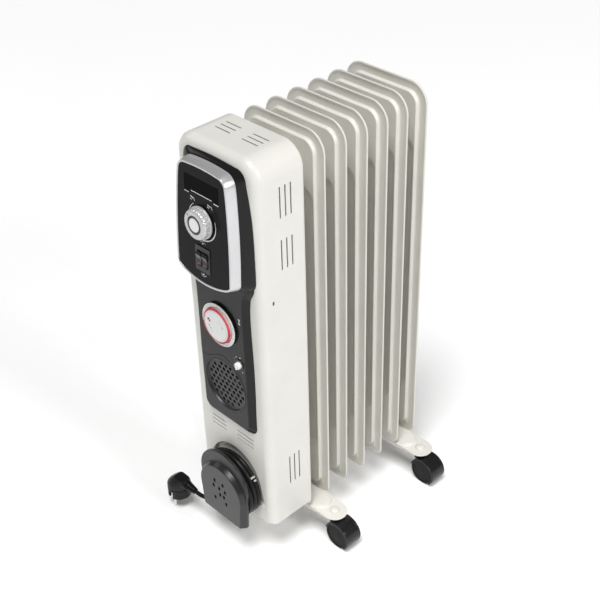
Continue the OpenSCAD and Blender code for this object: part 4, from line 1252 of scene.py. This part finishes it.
def wheel_mesh():
    out = []
    for s in (-1, 1):
        profile = [(2.0, 4), (2.0, 18.9), (2.25, 19.7), (2.8, 20.25), (3.7, 20.5), (7.4, 20.5),
                   (7.6, 20.35), (8.0, 20.35),
                   (8.2, 20.5), (11.9, 20.5), (12.8, 20.3), (13.35, 19.8), (13.6, 19.0), (13.6, 17.6),
                   (13.45, 17.2), (13.1, 17.0),
                   (12.75, 16.8), (12.6, 16.3), (12.6, 15.0), (12.7, 14.6), (12.7, 6.2), (12.9, 5.6),
                   (13.0, 4.8), (13.0, 1)]
        out.append(revolve([(s * d, r) for d, r in profile], (TRAIL, 0, AXLE_Z), "y", 80))
    return join(*out)


fork_part, wheel_part = fork_mesh(), wheel_mesh()
for k, row in enumerate(("front", "rear")):
    for s, hand in ((-1, "left"), (1, "right")):
        corner = row + "_" + hand
        place = lambda p, s=s, y=BRACKET_Y[k]: (s * (STEM_X + p[0]), p[1] + y, p[2])
        piece("caster_hood_" + corner, moved(fork_part, place), HOOD, "caster_" + corner,
              ("caster_fork_" + corner,), smooth=36)
        piece("caster_discs_" + corner, moved(wheel_part, place), WHEEL, "wheel_" + corner,
              ("caster_wheel_" + corner,), smooth=36)

# ---- CAD nodes that stay in sight or behind the covers ----

KEPT = {
    FIN_SHADED_CREAM: "upper_header lower_header",
    STEEL: "heating_element heat_shield fan_motor thermal_cutout",
    TAN: "thermostat terminal_block tip_switch timer_mechanism",
    ALUMINIUM: "ptc_heater",
    BRASS: "thermostat_shaft",
    BLACK: "fan_frame fan_impeller strain_relief",
    ZINC: "u_bolts wing_nuts " + " ".join("caster_axle_" + c for c in (
        "front_left", "front_right", "rear_left", "rear_right")),
}
for material, names in KEPT.items():
    for name in names.split():
        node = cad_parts[name]
        node.data.materials.clear()
        node.data.materials.append(material)

# ---- Studio ----


def floor():
    reach = 6000
    part = ([(x, y, 0) for x, y in ((-reach, -reach), (reach, -reach), (reach, reach), (-reach, reach))],
            [(0, 1, 2, 3)])
    m, tree, shader = nodes_of("floor")
    grain = noise(tree, 3.0, 3.0)
    tree.links.new(ramp(tree, grain.outputs["Fac"], 0.3, 0.7, (0.925, 0.925, 0.925), (0.935, 0.935, 0.935)),
                   shader.inputs["Base Color"])
    shader.inputs["Roughness"].default_value = 0.9
    shader.inputs["Emission Color"].default_value = (1, 1, 1, 1)
    shader.inputs["Emission Strength"].default_value = 0.08
    shader.inputs["Specular IOR Level"].default_value = 0.1
    link("floor", mesh_from("floor", part), m)


def area_light(name, at, aim, size, power):
    data = bpy.data.lights.new(name, "AREA")
    data.shape, data.size, data.size_y = "RECTANGLE", size[0], size[1]
    data.energy = power
    o = bpy.data.objects.new(name, data)
    o.location = at
    o.rotation_euler = (Vector(aim) - Vector(at)).to_track_quat("-Z", "Y").to_euler()
    bpy.context.scene.collection.objects.link(o)


def studio():
    world = bpy.data.worlds.new("studio")
    world.use_nodes = True
    back = world.node_tree.nodes["Background"]
    back.inputs["Color"].default_value = (1, 1, 1, 1)
    back.inputs["Strength"].default_value = 0.1
    bpy.context.scene.world = world
    bpy.context.scene.view_settings.view_transform = "Standard"
    data = bpy.data.lights.new("overhead", "SUN")
    data.energy, data.angle = 2.6, math.radians(24)
    overhead = bpy.data.objects.new("overhead", data)
    overhead.rotation_euler = (math.radians(18), math.radians(10), 0)
    bpy.context.scene.collection.objects.link(overhead)
    area_light("key", (2.45, 0.1, 1.8), (0, 0.05, 0.35), (0.5, 0.9), 33)
    area_light("left", (-2.2, -1.2, 1.5), (0, -0.1, 0.35), (0.8, 0.9), 5)


floor()
studio()
